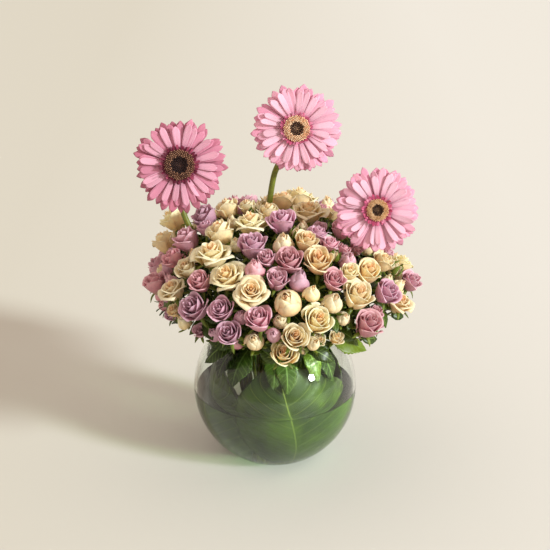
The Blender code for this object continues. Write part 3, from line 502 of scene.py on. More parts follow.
# Roses out of sight: drawn in turn for free places on the rest of the dome
HIDDEN_ROSES = 38
HIDDEN_KINDS = (
    (31, "cream", "half"), (28, "mauve", "half"), (37, "cream", "open"), (27, "mauve", "half"),
    (22, "cream", "bud"), (30, "mauve", "half"), (29, "cream", "half"), (20, "mauve", "bud"),
)
HIDDEN_PLACES = 3000
HIDDEN_FROM = 96
HIDDEN_LOWEST = -14

# Rose leaves: bearing, distance from the axis and height of the blade's foot, then of its tip,
# and the blade's width, in mm
LEAVES_IN_VIEW = (
    (45, 92, 182, 62, 122, 163, 30), (-36, 84, 180, -52, 104, 150, 28), (-34, 112, 220, -42, 136, 199, 19),
    (31, 118, 208, 42, 131, 184, 19), (10, 60, 162, 10, 86, 118, 28), (52, 60, 163, 53, 86, 121, 34),
    (-30, 60, 163, -36, 86, 120, 34), (31, 60, 163, 31, 85, 126, 25), (-9, 60, 162, -11, 85, 124, 27),
    (-54, 60, 163, -62, 86, 124, 30), (84, 100, 190, 92, 128, 172, 24), (-84, 96, 190, -92, 126, 170, 24),
)
HIDDEN_LEAVES = 8
LONGEST_STALK = 0.055
LEAF_TURNS = (0, 5, -5, 10, -10, 15, -15, 20, -20)
LEAF_PROBES = ((0, 0), (0.2, 0.8), (0.2, -0.8), (0.2, 0), (0.45, 1), (0.45, -1), (0.45, 0.4), (0.45, -0.4),
               (0.7, 0.7), (0.7, -0.7), (0.7, 0), (1, 0))
STALK_FROM = 0.135
BLADE_ROOM = 0.0016


def dome_point(bearing, climb, lift=1.0):
    """A point on the dome, or above it where lift is over 1."""
    turn = math.radians(bearing)
    rise = math.radians(climb)
    tall = DOME_UP if climb >= 0 else DOME_DOWN
    flat = DOME_R * math.cos(rise)
    return DOME_CENTRE + lift * Vector((flat * math.sin(turn), -flat * math.cos(turn), tall * math.sin(rise)))


def gerbera_stem(name):
    """The line of a gerbera's stem, from the vase's floor up to the back of its head."""
    eye, wide, neck = GERBERAS[name]
    facing = GERBERA_FACES.normalized()
    back = eye - facing * HEAD_DEPTH
    low = Vector((neck.x, neck.y, NECK_HEIGHT))
    water = standing_line(low)
    lean = Vector((back.x - low.x, back.y - low.y, 0))
    rise = UP * (back.z - low.z)
    start, half, most = GERBERA_LEANS[name]
    first = bezier(low, low + UP * 0.05 + lean * start, low + lean * half + rise * 0.55,
                   low + lean * most + rise * 0.74 - facing * 0.010, 5)
    behind = back - facing * 0.024 - UP * 0.008
    last = bezier(first[-1], first[-1] + (first[-1] - first[-2]) * 0.6, behind, back, 4)
    return water + first[1:] + last[1:]


def bezier(start, pull, push, end, parts):
    """Points along one cubic curve."""
    line = []
    for step in range(parts + 1):
        t = step / parts
        s = 1 - t
        line.append(start * s ** 3 + pull * (3 * s * s * t) + push * (3 * s * t * t) + end * t ** 3)
    return line


def standing_line(neck):
    """A stem's straight stretch in the water and its rise to the neck."""
    turn = Matrix.Rotation(math.radians(FLOOR_TWIST), 3, "Z")
    foot = turn @ Vector((neck.x, neck.y, 0)) * FLOOR_SPREAD
    foot.z = VASE_FLOOR + GAP
    above = foot.lerp(neck, 0.62)
    return [foot, above, neck.copy()]


class Rose:
    """One bloom or bud: its place, size, colour and stage, and the way it faces."""

    def __init__(self, place, wide, colour, stage, seen, rng):
        self.place = place
        self.radius = wide * MM / 2
        self.colour = colour
        self.stage = stage
        self.seen = seen
        self.lift = rng.uniform(0.97, 1.03) if seen else rng.uniform(0.95, 1.04)
        self.stray = Vector([rng.uniform(-1, 1) for _ in range(3)]) * math.tan(math.radians(AIM_STRAY))
        self.spin = rng.uniform(0, 120)

    def aim(self):
        out = (self.place - AIM_FROM).normalized()
        return (out + self.stray * 0.6).normalized()

    def foot(self):
        return self.place - self.aim() * self.radius * FOOT_DEPTH[self.stage]


def roses():
    """All the blooms on the dome: those in view, then those that fill the rest."""
    rng = random.Random(7)
    found = []
    for bearing, climb, wide, colour, stage, *proud in ROSES_IN_VIEW:
        found.append(Rose(dome_point(bearing, climb), wide, colour, stage, True, rng))
        if proud:
            found[-1].lift = proud[0]
    kinds = 0
    low = math.sin(math.radians(HIDDEN_LOWEST))
    for _ in range(HIDDEN_PLACES):
        bearing = rng.uniform(HIDDEN_FROM, 360 - HIDDEN_FROM)
        climb = math.degrees(math.asin(rng.uniform(low, 0.97)))
        wide, colour, stage = HIDDEN_KINDS[kinds % len(HIDDEN_KINDS)]
        place = dome_point(bearing, climb)
        room = min((place - other.place).length - other.radius for other in found)
        if room > wide * MM / 2 and kinds < HIDDEN_ROSES:
            found.append(Rose(place, wide, colour, stage, False, rng))
            kinds += 1
    settle(found)
    return found


def settle(found):
    """Blooms that press on each other slide apart along the dome."""
    fixed = []
    for name in GERBERAS:
        line = gerbera_stem(name)
        for a, b in zip(line, line[1:]):
            fixed += [(a.lerp(b, t), GERBERA_STEM_R + 0.002) for t in (0, 0.33, 0.67)]
        fixed += [(point, 0.009) for point in head_points(name)]
    places = np.array([tuple(rose.place) for rose in found])
    radii = np.array([rose.radius for rose in found])
    lifts = np.array([rose.lift for rose in found])
    yields = np.array([0.25 if rose.seen else 0.75 for rose in found])
    stuck = np.array([tuple(point) for point, thick in fixed])
    thick = np.array([thick for point, thick in fixed])
    share = yields[:, None] / (yields[:, None] + yields[None, :])
    for _ in range(SETTLE_TURNS):
        arms = places[:, None, :] - places[None, :, :]
        apart = np.linalg.norm(arms, axis=2) + np.eye(len(found))
        short = (radii[:, None] + radii[None, :]) * BLOOM_SPACING + 0.0008 - apart
        np.fill_diagonal(short, 0)
        push = np.clip(short, 0, None) * share * 0.7
        places += (arms / apart[:, :, None] * push[:, :, None]).sum(axis=1)
        arms = places[:, None, :] - stuck[None, :, :]
        apart = np.linalg.norm(arms, axis=2)
        push = np.clip(radii[:, None] * 1.08 + thick[None, :] - apart, 0, None) * 0.5
        worst = push.argmax(axis=1)
        rows = np.arange(len(found))
        places += arms[rows, worst] / apart[rows, worst][:, None] * push[rows, worst][:, None]
        arms = places - np.array(tuple(DOME_CENTRE))
        tall = np.where(arms[:, 2] >= 0, DOME_UP, DOME_DOWN)
        reach = np.sqrt((arms[:, 0] / DOME_R) ** 2 + (arms[:, 1] / DOME_R) ** 2 + (arms[:, 2] / tall) ** 2)
        places = np.array(tuple(DOME_CENTRE)) + arms * (lifts / reach)[:, None]
    for rose, place in zip(found, places):
        rose.place = Vector(place)


def head_points(name):
    """Points over a gerbera's head, which the blooms keep clear of."""
    eye, wide, neck = GERBERAS[name]
    facing = GERBERA_FACES.normalized()
    side = facing.cross(UP).normalized()
    rise = side.cross(facing)
    points = [eye - facing * 0.008]
    for ring in (0.25, 0.38, 0.47):
        for step in range(18):
            turn = math.radians(step * 20)
            points.append(eye + (side * math.cos(turn) + rise * math.sin(turn)) * wide * ring)
    return points


def sprays(found):
    """Like-coloured blooms that grow near each other share one stem, lowest blooms first."""
    left = sorted(found, key=lambda rose: rose.place.z)
    groups = []
    while left:
        first = left.pop(0)
        near = [rose for rose in left if rose.colour == first.colour]
        near = [rose for rose in near if (rose.place - first.place).length < SPRAY_REACH]
        near.sort(key=lambda rose: (rose.place - first.place).length)
        group = [first] + near[:SPRAY_BLOOMS - 1]
        for rose in group[1:]:
            left.remove(rose)
        groups.append(group)
    return groups


def neck_places(groups):
    """Where each spray's stem passes the neck: on its own side, and clear of the other stems."""
    spots = []
    for group in groups:
        middle = sum((rose.place for rose in group), Vector()) / len(group)
        out = Vector((middle.x, middle.y, 0))
        spots.append(out.normalized() * NECK_R * min(1, out.length / 0.120) ** 0.8)
    held = [Vector((neck.x, neck.y, 0)) for eye, wide, neck in GERBERAS.values()]
    for _ in range(NECK_TURNS):
        for i, one in enumerate(spots):
            for two in spots[i + 1:]:
                arm = two - one
                short = TRUNK_R * 2 + 0.0042 - arm.length
                if short > 0:
                    push = arm.normalized() * short * 0.5
                    one -= push
                    two += push
            for stem in held:
                arm = one - stem
                short = TRUNK_R + GERBERA_STEM_R + 0.0022 - arm.length
                if short > 0:
                    one += arm.normalized() * short
            if one.length > NECK_R:
                one.length = NECK_R
    return [Vector((spot.x, spot.y, NECK_HEIGHT)) for spot in spots]


class Room:
    """What is already in place, as balls along each stem and in each bloom."""

    def __init__(self):
        self.balls = {}

    def add(self, points, radius, owner):
        rows = np.array([(*point, radius) for point in points])
        if owner in self.balls:
            rows = np.vstack((self.balls[owner], rows))
        self.balls[owner] = rows

    def others(self, owner):
        """All the balls that this owner has to keep clear of."""
        return np.vstack([rows for one, rows in self.balls.items() if one != owner])


def clear(points, radius, balls):
    """The least free distance from these points to the balls."""
    line = np.array([tuple(point) for point in points])
    apart = np.linalg.norm(line[:, None, :] - balls[None, :, :3], axis=2) - balls[None, :, 3]
    return apart.min() - radius


def along(line, step=0.0025):
    """Points spaced evenly along a line of straight stretches."""
    points = []
    for a, b in zip(line, line[1:]):
        count = max(1, round((b - a).length / step))
        points += [a.lerp(b, k / count) for k in range(count)]
    return points + [line[-1]]


def clear_line(start, end, leave, arrive, radius, owner, room, parts=3):
    """The straightest curve between two points that stays clear of what is in place."""
    span = (end - start).length
    chord = (end - start).normalized()
    side = chord.orthogonal().normalized()
    best = None
    balls = room.others(owner)
    for shift in (0, 0.004, 0.008, 0.013, 0.019, 0.026):
        for step in range(8 if shift else 1):
            push = Quaternion(chord, math.radians(45 * step)) @ side * shift
            for early, late in ((1, 1), (1.4, 0.3), (0.3, 1.4)):
                line = bezier(start, start + leave * span * 0.3 + push * early,
                              end - arrive * span * 0.3 + push * late, end, parts)
                free = clear(along(line), radius, balls)
                if free > CLEARANCE:
                    return line
                if best is None or free > best[0]:
                    best = (free, line)
                if not shift:
                    break
    return best[1]


def arrangement():
    """The whole plan: for each spray its stem's line, and each bloom with its branch's line."""
    room = Room()
    for name in GERBERAS:
        room.add(along(gerbera_stem(name)), GERBERA_STEM_R, name)
        room.add(head_points(name), 0.006, name)
    groups = sprays(roses())
    necks = neck_places(groups)
    for number, group in enumerate(groups):
        for rose in group:
            aim = rose.aim()
            for height, wide in ((FOOT_DEPTH[rose.stage] * 1.05, 1.04), (0.8, 0.9), (0.4, 0.62)):
                room.add([rose.foot() + aim * rose.radius * height], rose.radius * wide, number)
    plan = []
    trunks = []
    for number, (group, neck) in enumerate(zip(groups, necks)):
        feet = sum((rose.foot() for rose in group), Vector()) / len(group)
        if len(group) == 1:
            fork = neck.lerp(feet, 0.25)
        else:
            fork = neck.lerp(feet, 0.34)
        lean = (fork - neck).normalized()
        upper = clear_line(neck, fork, (UP + lean).normalized(), lean, TRUNK_R, number, room, parts=2)
        trunk = standing_line(neck) + upper[1:]
        trunks.append(trunk)
        room.add(along(trunk), TRUNK_R, number)
    for number, (group, trunk) in enumerate(zip(groups, trunks)):
        tip = trunk[-1]
        lean = (trunk[-1] - trunk[-2]).normalized()
        branches = []
        for rose in sorted(group, key=lambda rose: (rose.place - tip).length):
            start = tip - lean * 0.003
            way = (rose.foot() - start).normalized()
            parts = 3 if (rose.foot() - start).length > LONG_BRANCH else 2
            line = clear_line(start, rose.foot(), (lean + way).normalized(), rose.aim(), BRANCH_R, number, room,
                              parts)
            room.add(along(line), BRANCH_R, number)
            branches.append((rose, line))
        plan.append((group[0].colour, trunk, branches))
    return plan, room


def blade_side(foot, tip):
    """The direction across a leaf's blade, which faces up and away from the vase's axis."""
    out = Vector((tip.x, tip.y, 0)).normalized()
    return (tip - foot).cross(UP * 0.55 + out * 0.85).normalized()


def leaf_rows():
    """The rows of the leaves in view, then of those at the sides and the back."""
    rng = random.Random(11)
    rows = list(LEAVES_IN_VIEW)
    for number in range(HIDDEN_LEAVES):
        bearing = 102 + number * 180 / HIDDEN_LEAVES + rng.uniform(-5, 5)
        inside = number % 2
        foot = (60, 163) if inside else (rng.uniform(86, 96), rng.uniform(180, 190))
        tip = (86, 122) if inside else (foot[0] + 27, foot[1] - rng.uniform(14, 24))
        rows.append((bearing, *foot, bearing + rng.uniform(-12, 12), *tip, rng.uniform(22, 28)))
    return rows


def leaf_places(plan, room):
    """Each rose leaf: the spray that bears it, its stalk's line, its tip and its width."""
    leaves = []
    for bearing, foot_off, foot_height, tip_bearing, tip_off, tip_height, wide in leaf_rows():
        best = None
        for turn in LEAF_TURNS:
            foot = cylinder_point(bearing + turn, foot_off, foot_height)
            tip = cylinder_point(tip_bearing + turn, tip_off, tip_height)
            side = blade_side(foot, tip) * wide * MM / 2
            blade = [foot.lerp(tip, t) + side * s for t, s in LEAF_PROBES]
            for number, (colour, trunk, branches) in enumerate(plan):
                high = [point for point in along(trunk) if point.z > STALK_FROM]
                root = min(high, key=lambda point: (point - foot).length)
                if (root - foot).length > LONGEST_STALK:
                    continue
                stalk = along([root, foot])
                balls = room.others(number)
                free = min(clear(stalk, BRANCH_R, balls), clear(blade, BLADE_ROOM, balls),
                           rim_room(blade + stalk))
                worth = min(free, CLEARANCE) * 20 - (root - foot).length - abs(turn) * 0.0004
                if best is None or worth > best[0]:
                    best = (worth, number, [root, foot], tip, free, blade)
        worth, number, stalk, tip, free, blade = best
        if free < CLEARANCE * 0.5:
            continue
        room.add(along(stalk), BRANCH_R, number)
        room.add(blade, 0.004, number)
        leaves.append((number, stalk, tip, wide * MM))
    return leaves


def rim_room(points):
    """How far these points stay from the glass near the rim."""
    least = 1
    for point in points:
        if point.z > RIM_HEIGHT + 0.006:
            continue
        off = abs(Vector((point.x, point.y, point.z - VASE_CENTRE)).length - VASE_R + VASE_WALL / 2)
        if point.z > RIM_HEIGHT:
            rim = math.sqrt(VASE_R ** 2 - (RIM_HEIGHT - VASE_CENTRE) ** 2)
            off = max(abs(math.hypot(point.x, point.y) - rim), point.z - RIM_HEIGHT)
        least = min(least, off - VASE_WALL / 2 - 0.0012)
    return least


def cylinder_point(bearing, distance, height):
    """A point from its bearing, and its distance from the axis and height in mm."""
    turn = math.radians(bearing)
    return Vector((math.sin(turn) * distance, -math.cos(turn) * distance, height)) * MM


plan, room = arrangement()
leaves = leaf_places(plan, room)

# Rose blooms
# Each bloom is cut sheets of petal wound round the heart in a spiral. The petals stand up, lap over
# the next, and roll their lips outwards; the heart of a cream rose is apricot, that of a mauve plum.
PETAL_THICK = 0.0003
GOLDEN_TURN = 137.5
BLOOM_FULLNESS = 1.18
BLOOM_FORMS = {
    "open": dict(petals=19, tall=1.36, core=0.07, spread=0.66, power=1.0, fall=0.30,
                 wrap=(135, 60), flare=0.34, curl=0.18, close=0.16),
    "half": dict(petals=15, tall=1.80, core=0.07, spread=0.80, power=1.05, fall=0.16,
                 wrap=(135, 68), flare=0.12, curl=0.12, close=0.24),
    "bud": dict(petals=10, tall=2.15, core=0.12, spread=0.88, power=0.8, fall=0.30, wrap=(160, 84)),
    "green": dict(petals=6, tall=1.80, core=0.12, spread=0.72, power=0.8, fall=0.12, wrap=(160, 104)),
}
PETAL_ROWS = (0, 0.20, 0.40, 0.58, 0.73, 0.85, 0.94, 1.0)
PETAL_COLUMNS = 9
LATE_ROWS = (0, 0.25, 0.5, 0.72, 0.88, 1.0)
LATE_COLUMNS = 7
LATE_TRIALS = 5000
LATE_MOST = 78
LATE_DEPTH = 0.93
LATE_LOWEST = -14
LATE_SMALLEST = 0.0042
LATE_LARGEST = 0.0094
CREAM_LIPS = ((255, 249, 222), (255, 245, 212), (255, 247, 216))
CREAM_BODY = ((255, 237, 190), (255, 227, 174), (255, 233, 182))
CREAM_HEART = ((255, 182, 86), (255, 168, 74), (255, 196, 98))
MAUVE_LIPS = ((246, 210, 221), (249, 208, 214), (241, 206, 222))
MAUVE_BODY = ((226, 166, 182), (231, 163, 174), (218, 165, 185))
MAUVE_HEART = ((172, 88, 106), (182, 92, 104), (158, 86, 110))
BUD_FOOT = (206, 212, 136)


def bloom_frame(rose, line):
    """The directions across and along a bloom, as columns of a matrix."""
    aim = rose.aim()
    side = (line[1] - line[0]).orthogonal()
    side = (side - aim * side.dot(aim)).normalized()
    return np.array([tuple(side), tuple(aim.cross(side)), tuple(aim)])


def petal_tints(rose, draw, v, f, shape):
    """A petal is deepest at its claw and palest at its lip; the inner ones are deeper."""
    if rose.colour == "cream":
        lips, bodies, hearts = CREAM_LIPS, CREAM_BODY, CREAM_HEART
    else:
        lips, bodies, hearts = MAUVE_LIPS, MAUVE_BODY, MAUVE_HEART
    kind = draw["kind"]
    lip = np.array(tone(*lips[kind]))
    body = np.array(tone(*bodies[kind]))
    heart = np.array(tone(*hearts[kind]))
    deep = np.clip(1.1 - 1.6 * v + 0.2 * (1 - f), 0, 1)[..., None] * (0.15 + 0.45 * (1 - f))
    pale = np.clip((v - 0.50) / 0.45, 0, 1)[..., None] ** 1.2
    core = np.clip(1 - f * 2.0, 0, 1) * 0.45
    colour = body * (1 - pale) + lip * pale
    colour = colour * (1 - deep) + heart * deep
    colour = colour * (1 - core) + heart * core
    if rose.stage in ("bud", "green") or f > 0.8:
        foot = np.clip(1 - v * 2.6, 0, 1)[..., None] * 0.6
        colour = colour * (1 - foot) + np.array(tone(*BUD_FOOT)) * foot
    colour = colour * draw["shade"]
    tints = np.ones((*shape, 4))
    tints[..., :3] = np.clip(colour, 0, 1)
    return tints


def bloom(sheets, rose, line, rng, rows=PETAL_ROWS, columns=PETAL_COLUMNS):
    """All the petals of one bloom."""
    form = BLOOM_FORMS[rose.stage]
    closed = rose.stage in ("bud", "green")
    radius = rose.radius * BLOOM_FULLNESS
    axes = bloom_frame(rose, line)
    foot = np.array(tuple(line[-1]))
    v, u = np.meshgrid(np.array(rows), np.linspace(-1, 1, columns), indexing="ij")
    count = form["petals"]
    draw = {"kind": rng.randrange(3), "shade": rng.uniform(0.90, 1.06)}
    for k in range(count):
        f = k / (count - 1)
        out = radius * (form["core"] + form["spread"] * f ** form["power"]) * rng.uniform(0.95, 1.05)
        top = radius * form["tall"] * (1 - form["fall"] * f * f) * rng.uniform(0.96, 1.03)
        base = radius * (0.06 + 0.16 * f)
        wrap = form["wrap"][0] + (form["wrap"][1] - form["wrap"][0]) * f ** 0.6
        width = (0.5 + 0.5 * v ** 0.6) * (1 - 0.34 * np.clip((v - 0.6) / 0.4, 0, 1) ** 2)
        turns = math.radians(k * GOLDEN_TURN + rose.spin + rng.uniform(-9, 9)) + np.radians(wrap) * width * u
        ripple = math.radians(rng.uniform(0, 360))
        lip = np.clip((v - 0.58) / 0.42, 0, 1)
        rolled = np.clip((v - 0.80) / 0.20, 0, 1)
        if closed:
            reach = base + (out - base) * np.sin(np.clip(v / 0.5, 0, 1) * math.pi / 2) ** 0.75
            over = np.clip((v - 0.45) / 0.55, 0, 1) ** 1.7
            reach = reach * (1 - over) + radius * (0.02 + 0.46 * f) * over + radius * 0.05 * f * rolled
        else:
            reach = base + (out - base) * (1 - (1 - v) ** 2.6)
            reach = reach * (1 - form["close"] * (1 - f) * np.clip((v - 0.40) / 0.60, 0, 1) ** 1.5)
            reach = reach + radius * form["flare"] * f ** 1.5 * lip ** 1.5 * rng.uniform(0.8, 1.15)
            reach = reach + radius * 0.07 * rolled * (0.4 + 0.6 * f)
        reach = reach * (1 + 0.06 * u) + radius * (0.012 + 0.02 * f) * np.sin(3.2 * u + ripple) * v ** 2
        rounding = 0.20 * abs(u) ** 2.2 - 0.04 * np.exp(-(u / 0.2) ** 2)
        rise = top * v * (1 - rounding * v) + radius * 0.035 * np.sin(2.6 * u + ripple) * v ** 2
        if not closed:
            rise = rise - radius * form["curl"] * (0.35 + 0.65 * f) * rolled ** 2
        local = np.stack((reach * np.cos(turns), reach * np.sin(turns), rise), axis=-1)
        grid = foot + local @ axes
        spots = np.stack((u, v + k), axis=-1)
        sheets.add(grid, spots, petal_tints(rose, draw, v, f, u.shape))


def late_blooms():
    """Small late blooms for the gaps that the others leave, with their twigs, by spray number."""
    late = random.Random(41)
    twigs = []
    balls = []
    for number, (colour, trunk, branches) in enumerate(plan):
        for rose, line in branches:
            balls.append((*rose.place, rose.radius * BLOOM_FULLNESS * 0.92))
            twigs += [(number, a.lerp(b, 0.5)) for a, b in zip(line[1:-1], line[2:])]
    for name in GERBERAS:
        balls += [(*point, GERBERA_STEM_R + 0.001) for point in along(gerbera_stem(name))]
        balls += [(*point, 0.010) for point in head_points(name)]
    balls = np.array(balls)
    lowest = math.sin(math.radians(LATE_LOWEST))
    spots = np.array([tuple(dome_point(late.uniform(0, 360), math.degrees(math.asin(late.uniform(lowest, 0.98))),
                                       LATE_DEPTH)) for _ in range(LATE_TRIALS)])
    free = np.full(LATE_TRIALS, 1.0)
    for x, y, z, radius in balls:
        free = np.minimum(free, np.linalg.norm(spots - (x, y, z), axis=1) - radius)
    found = {}
    for _ in range(LATE_MOST):
        best = free.argmax()
        if free[best] < LATE_SMALLEST:
            break
        wide = 2 * min(free[best] * 1.22, LATE_LARGEST) / BLOOM_FULLNESS / MM
        rose = Rose(Vector(spots[best]), wide, "cream", "half" if late.random() < 0.5 else "bud", False, late)
        foot = rose.foot()
        number, start = min(twigs, key=lambda twig: (twig[1] - foot).length)
        rose.colour = plan[number][0]
        found.setdefault(number, []).append((rose, [start, start.lerp(foot, 0.6) - rose.aim() * 0.002, foot]))
        free = np.minimum(free, np.linalg.norm(spots - spots[best], axis=1) - min(free[best], LATE_LARGEST))
    return found


finish, shader, tree = plain_finish("rose_petal", (240, 210, 170), 0.48)
shader.inputs["Specular IOR Level"].default_value = 0.28
shader.inputs["Sheen Weight"].default_value = 0.15
shader.inputs["Sheen Roughness"].default_value = 0.4
tint = add_node(tree, "ShaderNodeVertexColor")
tint.layer_name = "tint"
place = tree.nodes.new("ShaderNodeTexCoord")
cloud = add_node(tree, "ShaderNodeTexNoise", Scale=260.0, Detail=3.0)
tree.links.new(place.outputs["Object"], cloud.inputs["Vector"])
shift = tree.nodes.new("ShaderNodeHueSaturation")
tree.links.new(tint.outputs["Color"], shift.inputs["Color"])
tree.links.new(ramp(tree, cloud.outputs["Fac"], 0.3, 0.7, 0.93, 1.06), shift.inputs["Value"])
tree.links.new(shift.outputs["Color"], shader.inputs["Base Color"])
where = add_node(tree, "ShaderNodeUVMap")
where.uv_map = "sheet"
stretch = add_node(tree, "ShaderNodeMapping", Scale=(9.0, 1.2, 1.0))
fibre = add_node(tree, "ShaderNodeTexNoise", Scale=2.4, Detail=4.0)
bump = add_node(tree, "ShaderNodeBump", Strength=0.35, Distance=0.0004)
tree.links.new(where.outputs["UV"], stretch.inputs["Vector"])
tree.links.new(stretch.outputs["Vector"], fibre.inputs["Vector"])
tree.links.new(fibre.outputs["Fac"], bump.inputs["Height"])
tree.links.new(bump.outputs["Normal"], shader.inputs["Normal"])
glow = tree.nodes.new("ShaderNodeBsdfTranslucent")
tree.links.new(shift.outputs["Color"], glow.inputs["Color"])
mix = add_node(tree, "ShaderNodeMixShader", Fac=0.38)
tree.links.new(shader.outputs["BSDF"], mix.inputs[1])
tree.links.new(glow.outputs["BSDF"], mix.inputs[2])
tree.links.new(mix.outputs["Shader"], tree.nodes["Material Output"].inputs["Surface"])
petal_finish = finish

extras = late_blooms()
rng = random.Random(23)
counts = {"cream": 0, "mauve": 0}
spray_names = []
for colour, trunk, branches in plan:
    counts[colour] += 1
    name = "%s_spray_%02d" % (colour, counts[colour])
    spray_names.append(name)
    sheets = Sheets()
    for rose, line in branches:
        bloom(sheets, rose, line, rng)
    for rose, line in extras.get(len(spray_names) - 1, []):
        bloom(sheets, rose, line, rng, LATE_ROWS, LATE_COLUMNS)
    petals = sheets.made(name + "_petals")
    thicken(petals, PETAL_THICK)
    petals.data.materials.append(petal_finish)
    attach(petals, "root")
    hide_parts(name)

# Stems, sepals and leaves of the roses
# Round green stems fork to each bloom and swell to its hip, where five narrow sepals sit. Leaves are
# toothed, folded a little along the rib, and quilted between their side veins.
STEM_SIDES = 8
SEPALS = 5
SEPAL_THICK = 0.0005
LEAFLETS = 4
LEAFLET_TRIALS = 16
LEAFLET_ROOM = -0.001
COLLAR_LEAVES = 3
LEAF_ROWS = 31
LEAF_COLUMNS = 9
LEAF_TEETH = 11
LEAF_VEINS = 8
STEM_GREEN = (122, 130, 50)
HIP_GREEN = (146, 156, 68)
SEPAL_GREEN = (112, 128, 46)
LEAF_GREENS = ((54, 74, 14), (46, 64, 12), (64, 86, 18), (96, 118, 26), (112, 132, 32))


def smooth_line(line, parts):
    """Points on a smooth curve through the points of a line."""
    ends = [line[0] * 2 - line[1]] + list(line) + [line[-1] * 2 - line[-2]]
    points = []
    for a, b, c, d in zip(ends, ends[1:], ends[2:], ends[3:]):
        for k in range(parts):
            t = k / parts
            points.append(0.5 * (b * 2 + (c - a) * t + (a * 2 - b * 5 + c * 4 - d) * t * t
                                 + (b * 3 - a - c * 3 + d) * t ** 3))
    return points + [line[-1]]


class Tubes:
    """Closed round stems and hips gathered for one mesh, each with its tint."""

    def __init__(self):
        self.points = []
        self.faces = []
        self.tints = []

    def add(self, line, radii, tint, sides=STEM_SIDES):
        """A tube of rings along a line, capped at both ends."""
        side = Vector((1, 0, 0)) if abs((line[1] - line[0]).normalized().x) < 0.9 else Vector((0, 1, 0))
        first = len(self.points)
        for k, (point, radius) in enumerate(zip(line, radii)):
            ahead = (line[min(k + 1, len(line) - 1)] - line[max(k - 1, 0)]).normalized()
            side = (side - ahead * side.dot(ahead)).normalized()
            across = ahead.cross(side)
            for step in range(sides):
                turn = 2 * math.pi * step / sides
                self.points.append(point + (side * math.cos(turn) + across * math.sin(turn)) * radius)
                self.tints.append((*tone(*tint), 0.0))
        for k in range(len(line) - 1):
            low = first + k * sides
            for step in range(sides):
                after = (step + 1) % sides
                self.faces.append((low + step, low + after, low + sides + after, low + sides + step))
        last = first + (len(line) - 1) * sides
        self.faces.append(tuple(range(first + sides - 1, first - 1, -1)))
        self.faces.append(tuple(range(last, last + sides)))

    def made(self, name):
        """The mesh object of all the tubes."""
        mesh = bpy.data.meshes.new(name)
        mesh.from_pydata([tuple(point) for point in self.points], [], self.faces)
        mesh.uv_layers.new(name="sheet")
        tint = mesh.color_attributes.new("tint", "FLOAT_COLOR", "POINT")
        tint.data.foreach_set("color", np.array(self.tints, dtype=np.float32).ravel())
        mesh.shade_smooth()
        piece = bpy.data.objects.new(name, mesh)
        bpy.context.scene.collection.objects.link(piece)
        return piece


def hip_rings(foot, aim, radius):
    """The hip under a bloom: where its rings stand, and how wide they are."""
    heights = (-0.10, 0.0, 0.12, 0.26, 0.38, 0.46)
    widths = (0.0, 0.15, 0.25, 0.29, 0.24, 0.10)
    line = [foot + aim * radius * height for height in heights]
    return line, [max(radius * width, BRANCH_R) for width in widths]


def small_leaves(sheets, tubes, line, rose, room, rng):
    """Small leaflets along a branch, each turned to where the blooms leave it the most room."""
    for k in range(LEAFLETS):
        share = rng.uniform(0.15, 0.75)
        root = line[int(share * (len(line) - 1))]
        best = None
        for trial in range(LEAFLET_TRIALS):
            way = Vector((rng.uniform(-1, 1), rng.uniform(-1, 1), rng.uniform(-0.3, 0.9))).normalized()
            long = rng.uniform(0.016, 0.027)
            foot = root + way * 0.004
            tip = foot + way * long
            free = clear([foot.lerp(tip, t) for t in (0.3, 0.5, 0.8, 1)], 0.002, room)
            outward = (tip - DOME_CENTRE).length - (root - DOME_CENTRE).length
            worth = min(free, 0.003) * 3 + outward * 0.25
            if best is None or worth > best[0]:
                best = (worth, foot, tip, long, free)
        worth, foot, tip, long, free = best
        if free < LEAFLET_ROOM:
            continue
        tubes.add([root, foot], [0.0006, 0.0006], STEM_GREEN, 5)
        rose_leaf(sheets, foot, tip, long * rng.uniform(0.50, 0.64), LEAF_GREENS[rng.randrange(len(LEAF_GREENS))], rng, 8, 5)


def collar_leaves(sheets, tubes, line, rose, rng):
    """Larger leaflets that spread flat below a bloom and close the dome under it."""
    radius = rose.radius
    aim = rose.aim()
    side = aim.orthogonal().normalized()
    root = line[-1] - aim * 0.003
    for k in range(COLLAR_LEAVES):
        way = Quaternion(aim, 2 * math.pi * (k + rng.uniform(-0.3, 0.3)) / COLLAR_LEAVES) @ side
        foot = root + way * 0.004 - aim * rng.uniform(0.002, 0.010)
        long = rng.uniform(0.024, 0.032)
        tip = foot + (way + aim * rng.uniform(-0.25, 0.15)).normalized() * long
        if (tip - DOME_CENTRE).length > DOME_R * 1.02 or tip.z < RIM_HEIGHT + 0.012:
            continue
        tubes.add([root - aim * 0.004, foot], [0.0006, 0.0006], STEM_GREEN, 5)
        rose_leaf(sheets, foot, tip, long * rng.uniform(0.58, 0.72), LEAF_GREENS[rng.randrange(3)], rng, 8, 5)


